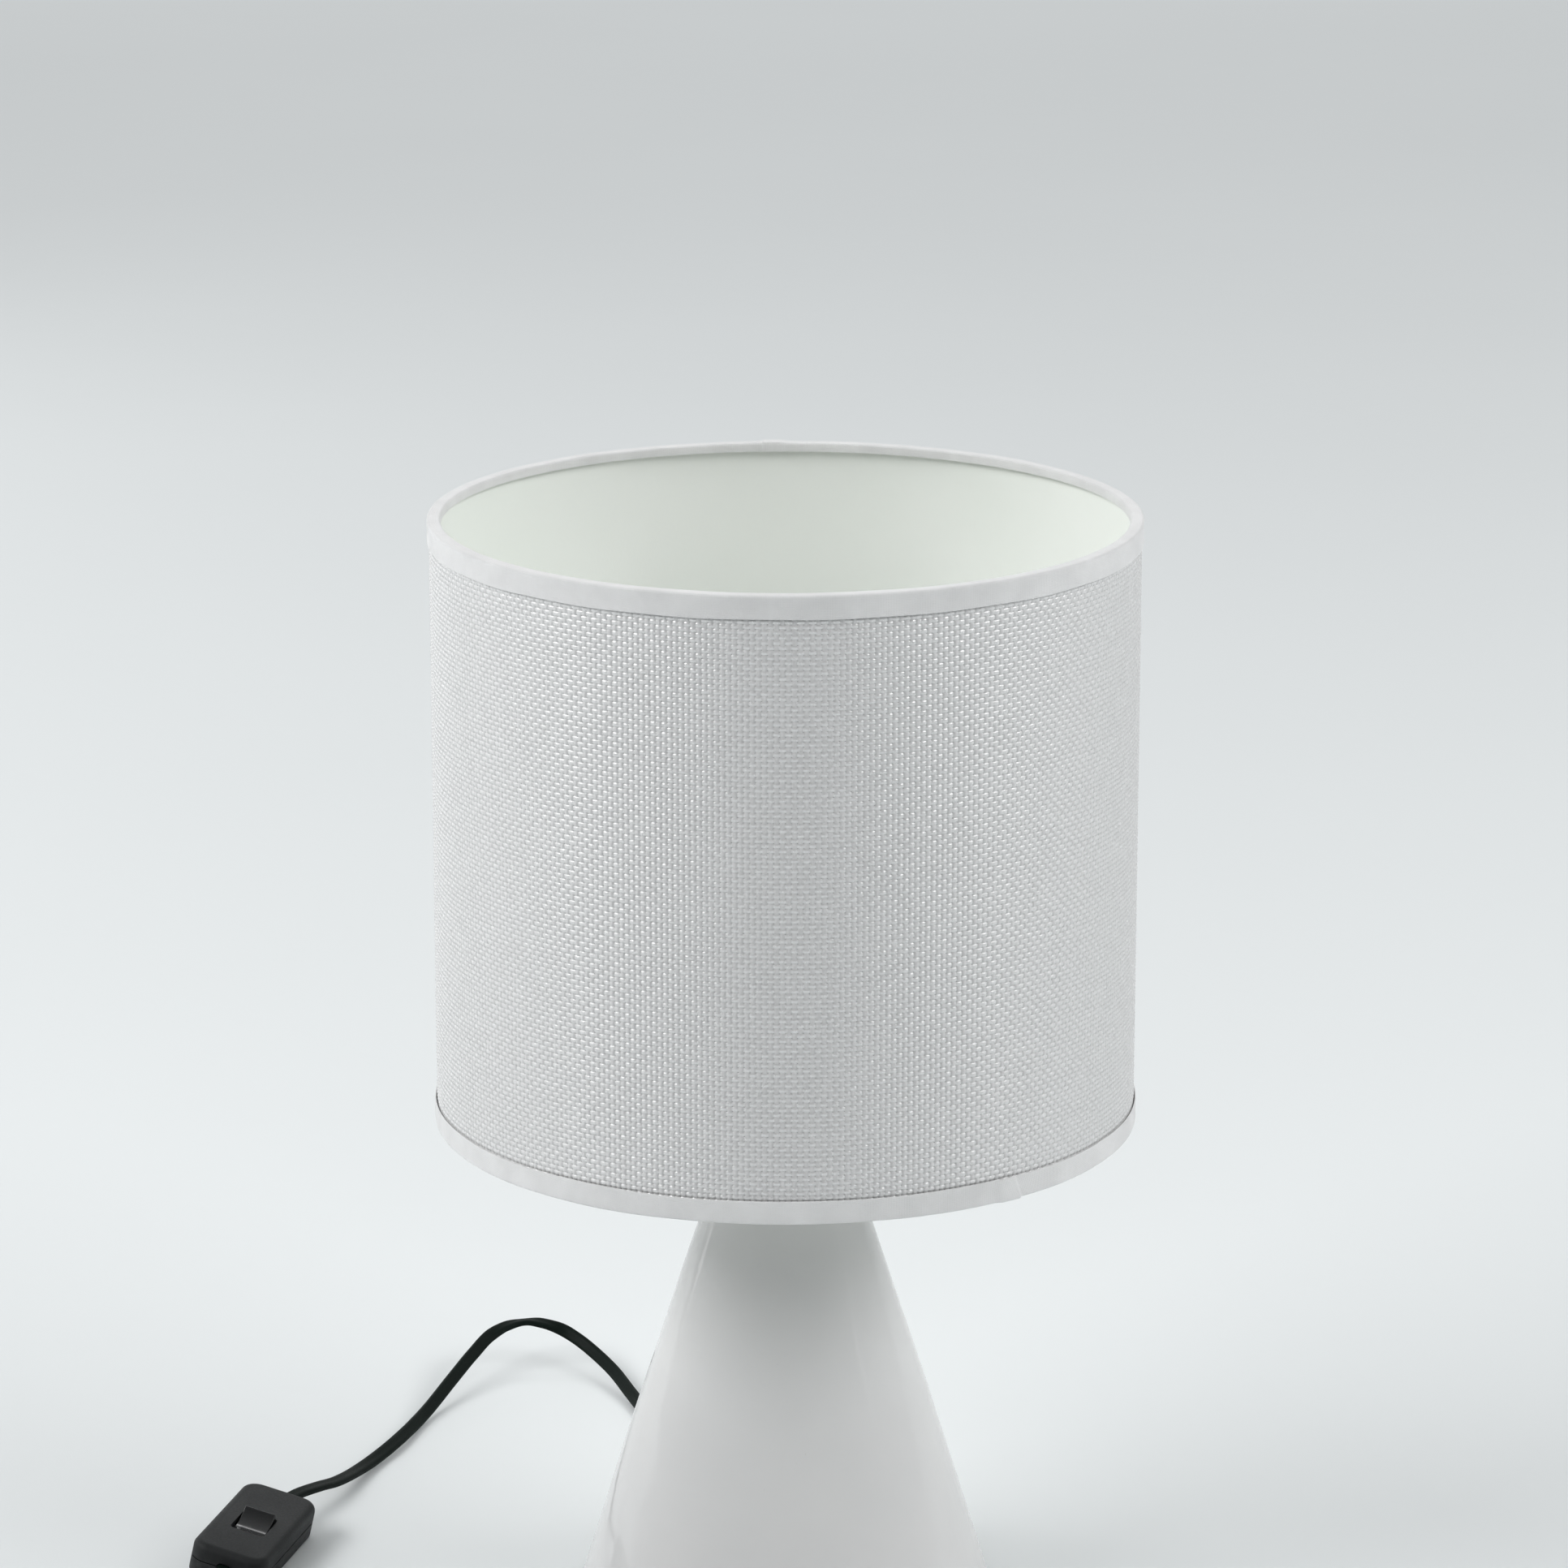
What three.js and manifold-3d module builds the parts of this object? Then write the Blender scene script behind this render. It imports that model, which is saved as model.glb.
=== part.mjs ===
// Table lamp: a straight-sided glazed ceramic cone, a woven drum shade on an E27 holder,
// and a flat twin lead with an inline rocker switch and a flat two-pin plug.
// Millimetres, +Z up. The origin is the centre of the lamp's foot, on the table.

import * as THREE from 'three';
import { mergeVertices } from 'three/addons/utils/BufferGeometryUtils.js';
import Module from 'manifold-3d';

const wasm = await Module();
wasm.setup();

// ---------- Driving dimensions ----------

const GAP = 0.3;              // between pieces that touch
const THIN_GAP = 0.2;         // between the layers of the shade

const LAMP_HEIGHT = 385;
const SHADE_HEIGHT = 210;
const SHADE_RADIUS = 120;     // outside the edge tape
const SHADE_SEGMENTS = 60;

const CONE_TOP_Z = 177;
const CONE_FOOT_Z = 2.1;      // above the felt pad
const CONE_TOP_RADIUS = 16;
const CONE_SLOPE = 0.338;     // radius gained per millimetre below the top
const CONE_BULGE = 0.000107;  // how much the slope eases towards the foot
const CONE_WALL = 4.5;
const CONE_ROOF = 6;          // thickness of the closed top
const CONE_SEGMENTS = 48;

const ROUND = 24;             // segments of a small turned part
const SMALL_ROUND = 16;

const CORD_WIDTH = 4.9;
const CORD_THICKNESS = 2.4;
const EXIT_HEIGHT = 12;       // of the lead's hole above the table
const EXIT_TURN = THREE.MathUtils.degToRad(17.6); // the hole's place, round from straight back

const SHADE_BOTTOM_Z = LAMP_HEIGHT - SHADE_HEIGHT;

// ---------- Colours ----------

function finish(color, roughness, metalness = 0) {
  return new THREE.MeshStandardMaterial({ color, roughness, metalness });
}

const materials = {
  glaze: finish(0xe6e7e8, 0.12),
  felt: finish(0x2b2d2e, 0.95),
  steel: finish(0xb4b6b8, 0.35, 1),
  brass: finish(0xc9a456, 0.3, 1),
  nickel: finish(0xc8c8c4, 0.25, 1),
  whitePlastic: finish(0xeeeeea, 0.45),
  whitePaint: finish(0xe9e9e6, 0.4),
  weave: finish(0xdde0de, 0.6),
  lining: finish(0xe9ebe2, 0.55),
  tape: finish(0xe4e5e6, 0.7),
  opal: finish(0xf4f3ee, 0.35),
  blackPlastic: finish(0x2e3030, 0.5),
  blackGloss: finish(0x1d1f1f, 0.2),
  cord: finish(0x1c1e1d, 0.45),
};

// ---------- Making and cutting solids ----------

const lamp = new THREE.Group();

/** The same shape with shared corners merged, slivers dropped and faces pointing out. */
function closed(geometry) {
  geometry.deleteAttribute('normal');
  geometry.deleteAttribute('uv');
  const merged = mergeVertices(geometry, 1e-4);
  const corners = merged.index.array;
  const position = merged.attributes.position;
  const a = new THREE.Vector3();
  const b = new THREE.Vector3();
  const c = new THREE.Vector3();
  const kept = [];
  let volume = 0;
  for (let i = 0; i < corners.length; i += 3) {
    const [p, q, r] = [corners[i], corners[i + 1], corners[i + 2]];
    if (p === q || q === r || r === p) continue;
    kept.push(p, q, r);
    a.fromBufferAttribute(position, p);
    b.fromBufferAttribute(position, q);
    c.fromBufferAttribute(position, r);
    volume += a.dot(b.cross(c));
  }
  if (volume < 0) kept.reverse();
  const out = new THREE.BufferGeometry();
  out.setAttribute('position', position);
  out.setIndex(kept);
  return out;
}

function toManifold(geometry) {
  const shape = closed(geometry);
  const vertProperties = new Float32Array(shape.attributes.position.array);
  const triVerts = new Uint32Array(shape.index.array);
  return new wasm.Manifold(new wasm.Mesh({ numProp: 3, vertProperties, triVerts }));
}

function fromManifold(solid) {
  const mesh = solid.getMesh();
  const geometry = new THREE.BufferGeometry();
  geometry.setAttribute('position', new THREE.BufferAttribute(mesh.vertProperties, 3));
  geometry.setIndex(Array.from(mesh.triVerts));
  return geometry;
}

function cut(geometry, ...tools) {
  return fromManifold(tools.reduce((s, t) => s.subtract(toManifold(t)), toManifold(geometry)));
}

function join(geometry, ...others) {
  return fromManifold(others.reduce((s, t) => s.add(toManifold(t)), toManifold(geometry)));
}

function place(name, geometry, material, group = lamp) {
  const mesh = new THREE.Mesh(closed(geometry), material);
  mesh.name = name;
  group.add(mesh);
  return mesh;
}

// ---------- Shapes ----------

/** A solid turned about +Z from [radius, height] pairs; it starts and ends on the axis or closes. */
function turned(profile, segments = ROUND) {
  const points = profile.map(([radius, z]) => new THREE.Vector2(radius, z));
  return new THREE.LatheGeometry(points, segments).rotateX(Math.PI / 2);
}

/** A ring or tube of rectangular section. */
function ring(inner, outer, bottom, top, segments = ROUND) {
  return turned([[inner, bottom], [outer, bottom], [outer, top], [inner, top], [inner, bottom]], segments);
}

function disc(radius, bottom, top, segments = ROUND) {
  return turned([[0, bottom], [radius, bottom], [radius, top], [0, top]], segments);
}

function box(x, y, z, dx, dy, dz) {
  return new THREE.BoxGeometry(dx, dy, dz).translate(x, y, z);
}

/** A hexagonal nut about +Z, with a plain bore. */
function hexNut(acrossFlats, bore, bottom, top) {
  const height = top - bottom;
  const body = new THREE.CylinderGeometry(
    acrossFlats / Math.sqrt(3), acrossFlats / Math.sqrt(3), height, 6).rotateX(Math.PI / 2);
  return cut(body.translate(0, 0, (bottom + top) / 2), disc(bore, bottom - 1, top + 1, SMALL_ROUND));
}

/** A rectangle with round corners, centred on the origin. */
function roundedRectangle(length, width, radius) {
  const [x, y] = [length / 2 - radius, width / 2 - radius];
  const shape = new THREE.Shape();
  shape.absarc(x, y, radius, 0, Math.PI / 2);
  shape.absarc(-x, y, radius, Math.PI / 2, Math.PI);
  shape.absarc(-x, -y, radius, Math.PI, 1.5 * Math.PI);
  shape.absarc(x, -y, radius, 1.5 * Math.PI, 2 * Math.PI);
  shape.closePath();
  return shape;
}

function upright(shape, bottom, top, curveSegments = 5) {
  return new THREE.ExtrudeGeometry(shape, { depth: top - bottom, bevelEnabled: false, curveSegments })
    .translate(0, 0, bottom);
}

/** A small cross-headed screw along +Z, head down. */
function screw(x, y, headBottom, length, shankRadius, headRadius, headHeight) {
  const head = headBottom + headHeight;
  return turned([
    [0, headBottom + 0.5], [headRadius * 0.3, headBottom], [headRadius, headBottom + 0.3],
    [headRadius, head], [shankRadius, head], [shankRadius, headBottom + length],
    [0, headBottom + length],
  ], 12).translate(x, y, 0);
}

// ---------- Ceramic body ----------

/** Outside radius of the ceramic cone at a height above the table. */
function coneRadius(z) {
  const below = CONE_TOP_Z - z;
  return CONE_TOP_RADIUS + CONE_SLOPE * below - CONE_BULGE * below * below;
}

function coneProfile() {
  const outside = [];
  const inside = [];
  const steps = 5;
  const roofZ = CONE_TOP_Z - CONE_ROOF;
  for (let i = 0; i <= steps; i += 1) {
    const z = THREE.MathUtils.lerp(CONE_FOOT_Z + 2, CONE_TOP_Z - 1.5, i / steps);
    outside.push([coneRadius(z), z]);
    const inner = THREE.MathUtils.lerp(CONE_FOOT_Z, roofZ, i / steps);
    inside.unshift([coneRadius(inner) - CONE_WALL, inner]);
  }
  const footRadius = coneRadius(CONE_FOOT_Z);
  return [
    [footRadius - CONE_WALL, CONE_FOOT_Z], [footRadius - 1.6, CONE_FOOT_Z], ...outside,
    [CONE_TOP_RADIUS - 1.2, CONE_TOP_Z], [NIPPLE_RADIUS + 0.6, CONE_TOP_Z],
    [NIPPLE_RADIUS + 0.6, roofZ], ...inside,
  ];
}

const NIPPLE_RADIUS = 5;
const NIPPLE_BORE = 3.7;

/** Turns a solid made along +Z to lie along the lead's exit direction, starting at the axis. */
function alongExit(geometry) {
  return geometry.rotateX(-Math.PI / 2).rotateZ(EXIT_TURN).translate(0, 0, EXIT_HEIGHT);
}

/** A point at a distance from the lamp's axis in the exit direction. */
function exitPoint(distance, z) {
  return new THREE.Vector3(-Math.sin(EXIT_TURN) * distance, Math.cos(EXIT_TURN) * distance, z);
}

const RELIEF_SHANK = 4.4;
const RELIEF_FLANGE = 7;
const RELIEF_START = coneRadius(EXIT_HEIGHT - RELIEF_FLANGE) + GAP;
const RELIEF_END = RELIEF_START + 25;
const RELIEF_INNER_END = 56;

function ceramicBody() {
  const hole = alongExit(disc(RELIEF_SHANK + 0.4, 45, 90, SMALL_ROUND));
  place('ceramic_body', cut(turned(coneProfile(), CONE_SEGMENTS), hole), materials.glaze);
  const padRadius = coneRadius(CONE_FOOT_Z) - 1.8;
  place('felt_pad', disc(padRadius, 0, CONE_FOOT_Z - GAP, CONE_SEGMENTS), materials.felt);
}

function leadExit() {
  const relief = alongExit(turned([
    [0, RELIEF_INNER_END], [RELIEF_SHANK, RELIEF_INNER_END], [RELIEF_SHANK, RELIEF_START],
    [RELIEF_FLANGE, RELIEF_START], [RELIEF_FLANGE, RELIEF_START + 1.4], [5.2, RELIEF_START + 2.2],
    [3.4, RELIEF_END - 1], [2.9, RELIEF_END], [0, RELIEF_END],
  ], SMALL_ROUND));
  place('cord_strain_relief', relief, materials.blackPlastic);
  const nutStart = RELIEF_INNER_END + 1;
  const nut = alongExit(hexNut(14, RELIEF_SHANK + GAP, nutStart, nutStart + 3));
  place('relief_lock_nut', nut, materials.whitePlastic);
}

// ---------- Neck and lamp holder ----------

const NECK_CAP_Z = CONE_TOP_Z + GAP;
const HOLDER_Z = NECK_CAP_Z + 1.6 + GAP;     // underside of the holder's base
const HOLDER_SPLIT_Z = HOLDER_Z + 18;
const STOP_Z = HOLDER_SPLIT_Z + 5;           // top of the flange that carries the shade
const HOLDER_MOUTH_Z = HOLDER_SPLIT_Z + 38;
const BARREL_RADIUS = 19.8;
const CARRIER_Z = STOP_Z + GAP;              // underside of the shade's fitting ring
const CARRIER_THICKNESS = 2;
const SHELL_Z = HOLDER_SPLIT_Z + 2.6;        // floor of the brass screw shell
const BLOCK_Z = HOLDER_Z + 9;                // underside of the terminal block

function neck() {
  const roofZ = CONE_TOP_Z - CONE_ROOF;
  const washerTop = roofZ - GAP;
  const nutTop = washerTop - 1.4 - GAP;
  const nippleTop = HOLDER_Z + 8;
  const nipple = ring(NIPPLE_BORE, NIPPLE_RADIUS, nutTop - 8, nippleTop, SMALL_ROUND);
  place('threaded_nipple', nipple, materials.steel);
  const washer = ring(NIPPLE_RADIUS + GAP, 10.5, washerTop - 1.4, washerTop, SMALL_ROUND);
  place('inner_washer', washer, materials.steel);
  place('inner_nut', hexNut(16, NIPPLE_RADIUS + GAP, nutTop - 5, nutTop), materials.steel);
  place('neck_cap', ring(NIPPLE_RADIUS + GAP, 15.5, NECK_CAP_Z, NECK_CAP_Z + 1.6), materials.whitePaint);
  const lockZ = HOLDER_Z + 2 + GAP;
  place('holder_lock_nut', hexNut(14, NIPPLE_RADIUS + GAP, lockZ, lockZ + 3), materials.steel);
}

function holder() {
  const baseTop = HOLDER_SPLIT_Z - GAP;
  const base = turned([
    [NIPPLE_RADIUS + GAP, HOLDER_Z], [13.5, HOLDER_Z], [15, HOLDER_Z + 1], [19, HOLDER_Z + 8],
    [BARREL_RADIUS, HOLDER_Z + 11], [BARREL_RADIUS, baseTop], [BARREL_RADIUS - 1.8, baseTop],
    [BARREL_RADIUS - 1.8, HOLDER_Z + 11.5], [17, HOLDER_Z + 8.6], [13.2, HOLDER_Z + 2],
    [NIPPLE_RADIUS + GAP, HOLDER_Z + 2], [NIPPLE_RADIUS + GAP, HOLDER_Z],
  ]);
  place('holder_base', base, materials.whitePlastic);
  const barrel = turned([
    [BARREL_RADIUS - 2.4, HOLDER_SPLIT_Z], [BARREL_RADIUS, HOLDER_SPLIT_Z],
    [BARREL_RADIUS, STOP_Z - 2.2], [23.6, STOP_Z - 2.2], [23.6, STOP_Z], [BARREL_RADIUS, STOP_Z],
    [BARREL_RADIUS, HOLDER_MOUTH_Z - 1], [BARREL_RADIUS - 0.8, HOLDER_MOUTH_Z],
    [BARREL_RADIUS - 2.4, HOLDER_MOUTH_Z], [BARREL_RADIUS - 2.4, HOLDER_SPLIT_Z],
  ]);
  place('holder_barrel', barrel, materials.whitePlastic);

  const screwSpots = [-1, 1];
  const screwHoles = screwSpots.map(
    (side) => disc(2.1, BLOCK_Z - 1, BLOCK_Z + 5, 12).translate(11 * side, 0, 0));
  const block = cut(disc(16.6, BLOCK_Z, SHELL_Z - 2, ROUND), ...screwHoles);
  place('terminal_block', block, materials.whitePlastic);
  screwSpots.forEach((side) => {
    const name = side < 0 ? 'terminal_screw_live' : 'terminal_screw_neutral';
    place(name, screw(11 * side, 0, BLOCK_Z - 1.6, 6, 1.6, 2.6, 1.3), materials.brass);
  });
  const shell = turned([
    [5, SHELL_Z], [13.9, SHELL_Z], [13.9, SHELL_Z + 29], [13.5, SHELL_Z + 29],
    [13.5, SHELL_Z + 0.6], [5, SHELL_Z + 0.6], [5, SHELL_Z],
  ]);
  place('screw_shell', shell, materials.brass);
  const contact = join(
    disc(3.4, SHELL_Z - 1.7, SHELL_Z - 0.9, 12),
    disc(2.2, SHELL_Z - 0.95, SHELL_Z + 1.1, 12),
  );
  place('centre_contact', contact, materials.brass);
}

// ---------- Bulb ----------

function bulb() {
  const tip = SHELL_Z + 1.4;
  place('bulb_tip', turned([[0, tip], [3.2, tip + 0.5], [4.4, tip + 1.6], [0, tip + 1.6]], SMALL_ROUND),
    materials.nickel);
  const insulatorZ = tip + 1.6 + THIN_GAP;
  place('bulb_insulator', turned([[0, insulatorZ], [4.8, insulatorZ], [10.4, insulatorZ + 2.6],
    [0, insulatorZ + 2.6]], SMALL_ROUND), materials.blackGloss);
  const capZ = insulatorZ + 2.6 + THIN_GAP;
  place('bulb_cap', turned([[0, capZ], [11, capZ], [13.1, capZ + 2], [13.1, capZ + 24],
    [0, capZ + 24]]), materials.nickel);
  const neckZ = capZ + 24 + GAP;
  place('bulb_housing', turned([[0, neckZ], [14, neckZ], [14.8, neckZ + 6], [19, neckZ + 18],
    [27.5, neckZ + 32], [27.5, neckZ + 33], [0, neckZ + 33]]), materials.whitePlastic);
  const globeZ = neckZ + 33 + GAP;
  const globe = [[0, globeZ]];
  for (let i = 0; i <= 8; i += 1) {
    const angle = THREE.MathUtils.lerp(-0.32, Math.PI / 2, i / 8);
    globe.push([30 * Math.cos(angle) * (i === 8 ? 0 : 1), globeZ + 9.6 + 30 * Math.sin(angle)]);
  }
  place('bulb_globe', turned(globe), materials.opal);
}

// ---------- Shade ----------

const TAPE = 0.4;
const FABRIC_OUTER = SHADE_RADIUS - TAPE - THIN_GAP;
const FABRIC_THICKNESS = 0.8;
const LINING_OUTER = FABRIC_OUTER - FABRIC_THICKNESS - THIN_GAP;
const LINING_THICKNESS = 0.4;
const WIRE_RADIUS = 0.9;
const WIRE_CENTRE = LINING_OUTER - LINING_THICKNESS - THIN_GAP - WIRE_RADIUS;
const TAPE_INNER = WIRE_CENTRE - WIRE_RADIUS - THIN_GAP;
const TAPE_OUTER_LEG = 8;
const TAPE_INNER_LEG = 3.1;
const EDGE_INSET = 1.3;       // from the shade's edge to the end of the cloth inside the tape

/** The tape folded over one edge: profile drawn for the top edge, mirrored for the bottom one. */
function edgeTape(edge, direction) {
  const z = (depth) => edge - direction * depth;
  return turned([
    [SHADE_RADIUS, z(TAPE_OUTER_LEG)], [SHADE_RADIUS, z(0.9)], [SHADE_RADIUS - 0.9, z(0)],
    [TAPE_INNER + 0.3, z(0)], [TAPE_INNER - TAPE, z(0.8)], [TAPE_INNER - TAPE, z(TAPE_INNER_LEG)],
    [TAPE_INNER, z(TAPE_INNER_LEG)], [TAPE_INNER, z(0.9)], [TAPE_INNER + 0.5, z(TAPE)],
    [SHADE_RADIUS - 1.1, z(TAPE)], [SHADE_RADIUS - TAPE, z(1.1)],
    [SHADE_RADIUS - TAPE, z(TAPE_OUTER_LEG)], [SHADE_RADIUS, z(TAPE_OUTER_LEG)],
  ], SHADE_SEGMENTS);
}

function edgeWire(z) {
  const profile = [];
  for (let i = 0; i <= 6; i += 1) {
    const angle = (i % 6) * Math.PI / 3;
    profile.push([WIRE_CENTRE + WIRE_RADIUS * Math.cos(angle), z + WIRE_RADIUS * Math.sin(angle)]);
  }
  return turned(profile, SHADE_SEGMENTS);
}

function shade() {
  const [clothBottom, clothTop] = [SHADE_BOTTOM_Z + EDGE_INSET, LAMP_HEIGHT - EDGE_INSET];
  place('shade_fabric', ring(FABRIC_OUTER - FABRIC_THICKNESS, FABRIC_OUTER, clothBottom, clothTop,
    SHADE_SEGMENTS), materials.weave);
  const liningInset = 0.5;
  place('shade_lining', ring(LINING_OUTER - LINING_THICKNESS, LINING_OUTER, clothBottom + liningInset,
    clothTop - liningInset, SHADE_SEGMENTS), materials.lining);
  const wireInset = TAPE + THIN_GAP + WIRE_RADIUS;
  place('top_ring_wire', edgeWire(LAMP_HEIGHT - wireInset), materials.whitePaint);
  place('bottom_ring_wire', edgeWire(SHADE_BOTTOM_Z + wireInset), materials.whitePaint);
  place('top_edge_tape', edgeTape(LAMP_HEIGHT, 1), materials.tape);
  place('bottom_edge_tape', edgeTape(SHADE_BOTTOM_Z, -1), materials.tape);

  const carrierTop = CARRIER_Z + CARRIER_THICKNESS;
  place('fitting_ring', ring(21, 27.5, CARRIER_Z, carrierTop), materials.whitePaint);
  const armRadius = 1.5;
  const armInner = 27.5 + GAP + armRadius;
  const armOuter = TAPE_INNER - TAPE - GAP;
  const armTopZ = CARRIER_Z + CARRIER_THICKNESS / 2;
  const armLowZ = SHADE_BOTTOM_Z + wireInset;
  for (let i = 0; i < 3; i += 1) {
    const route = new THREE.CatmullRomCurve3([
      new THREE.Vector3(armInner, 0, armTopZ),
      new THREE.Vector3(armInner + 7, 0, armTopZ - 0.6),
      new THREE.Vector3(armOuter - 12, 0, armLowZ + 2.4),
      new THREE.Vector3(armOuter, 0, armLowZ),
    ], false, 'catmullrom', 0.4);
    const arm = new THREE.ExtrudeGeometry(roundSection(armRadius, 8), { steps: 14, extrudePath: route });
    place(`spider_arm_${i + 1}`, arm, materials.whitePaint).rotation.z = Math.PI / 2 + i * 2 * Math.PI / 3;
  }

  const ringZ = carrierTop + GAP;
  const ringRadius = 25.5;
  const grips = [];
  for (let i = 0; i < 16; i += 1) {
    const angle = i * Math.PI / 8;
    grips.push(disc(1.6, ringZ - 1, ringZ + 9, 8)
      .translate((ringRadius + 0.7) * Math.cos(angle), (ringRadius + 0.7) * Math.sin(angle), 0));
  }
  place('shade_retaining_ring', cut(ring(BARREL_RADIUS + GAP, ringRadius, ringZ, ringZ + 8), ...grips),
    materials.whitePlastic);
}

// ---------- Lead ----------

// How far the lead from the lamp is turned about its own line, in degrees, by the share of its
// length: its wide face leans outwards on both flanks of the arch, and follows the switch's roll.
const ARCH_TWIST = [[0, 0], [0.2, 0], [0.28, 30], [0.335, 42], [0.4, 54], [0.438, 16], [0.457, -8],
  [0.478, 12], [0.508, 40], [0.55, 54], [0.68, 52], [0.775, 30], [0.865, 14], [0.93, 13], [1, 13]];

function readTable(table, share) {
  const after = Math.max(1, table.findIndex(([at]) => at >= share));
  const [[from, low], [to, high]] = [table[after - 1], table[after]];
  return THREE.MathUtils.lerp(low, high, THREE.MathUtils.smoothstep(share, from, to));
}

/** A route for a flat section, level where the twist table says nothing. */
class LevelRoute extends THREE.CatmullRomCurve3 {
  constructor(list, twist = [[0, 0], [1, 0]]) {
    super(list);
    this.twist = twist;
  }

  computeFrenetFrames(segments) {
    const up = new THREE.Vector3(0, 0, 1);
    const tangents = [];
    const normals = [];
    const binormals = [];
    for (let i = 0; i <= segments; i += 1) {
      const tangent = this.getTangentAt(i / segments);
      const turn = THREE.MathUtils.degToRad(readTable(this.twist, i / segments));
      const normal = new THREE.Vector3().crossVectors(tangent, up).normalize()
        .applyAxisAngle(tangent, turn);
      tangents.push(tangent);
      normals.push(normal);
      binormals.push(new THREE.Vector3().crossVectors(tangent, normal));
    }
    return { tangents, normals, binormals };
  }
}

function roundSection(radius, sides) {
  const shape = new THREE.Shape();
  for (let i = 0; i < sides; i += 1) {
    const angle = (i + 0.5) * 2 * Math.PI / sides;
    const [x, y] = [radius * Math.cos(angle), radius * Math.sin(angle)];
    if (i === 0) shape.moveTo(x, y);
    else shape.lineTo(x, y);
  }
  shape.closePath();
  return shape;
}

/** The lead's flat section, eight-sided: two cores side by side. */
function leadSection() {
  const [x, y] = [CORD_WIDTH / 2, CORD_THICKNESS / 2];
  const chamfer = 0.7;
  const corners = [[x, y - chamfer], [x - chamfer, y], [chamfer - x, y], [-x, y - chamfer],
    [-x, chamfer - y], [chamfer - x, -y], [x - chamfer, -y], [x, chamfer - y]];
  const shape = new THREE.Shape();
  corners.forEach(([cx, cy], i) => (i ? shape.lineTo(cx, cy) : shape.moveTo(cx, cy)));
  shape.closePath();
  return shape;
}

function lead(name, route, steps) {
  place(name, new THREE.ExtrudeGeometry(leadSection(), { steps, extrudePath: route }), materials.cord);
}

function points(list) {
  return list.map(([x, y, z]) => new THREE.Vector3(x, y, z));
}

// Switch place: its centre and the turn of its long axis, which runs from the lamp's lead
// to the plug's lead.
const SWITCH_ROLL = THREE.MathUtils.degToRad(13);  // the stiff lead holds its left edge off the table
const SWITCH_CENTRE = new THREE.Vector3(-189.9, 23.85, 2.9);
const SWITCH_TURN = Math.atan2(-0.9687, -0.2482);
const SWITCH_LENGTH = 62;
const SWITCH_WIDTH = 28;
const SWITCH_HEIGHT = 13;
const SWITCH_ENTRY_Z = 6.5;

/** A point on the switch's long axis, from -1 at the lamp's lead to +1 at the plug's lead. */
function switchAxis(share, extra = 0) {
  const point = new THREE.Vector3(share * (SWITCH_LENGTH / 2 + extra), 0, SWITCH_ENTRY_Z);
  return point.applyEuler(new THREE.Euler(-SWITCH_ROLL, 0, SWITCH_TURN, 'ZYX')).add(SWITCH_CENTRE);
}

const COIL_CENTRE = new THREE.Vector3(-172, -64, 0);
const COIL_INNER = 22;
const COIL_OUTER = 33.2;
const COIL_BOTTOM = 1;
const COIL_TOP = 11.2;
const PLUG_AXIS_Z = 6.9;
const PLUG_RELIEF_START = -121;  // x of the end of the plug's strain relief
const PLUG_Y = COIL_CENTRE.y - 31.6;

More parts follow.
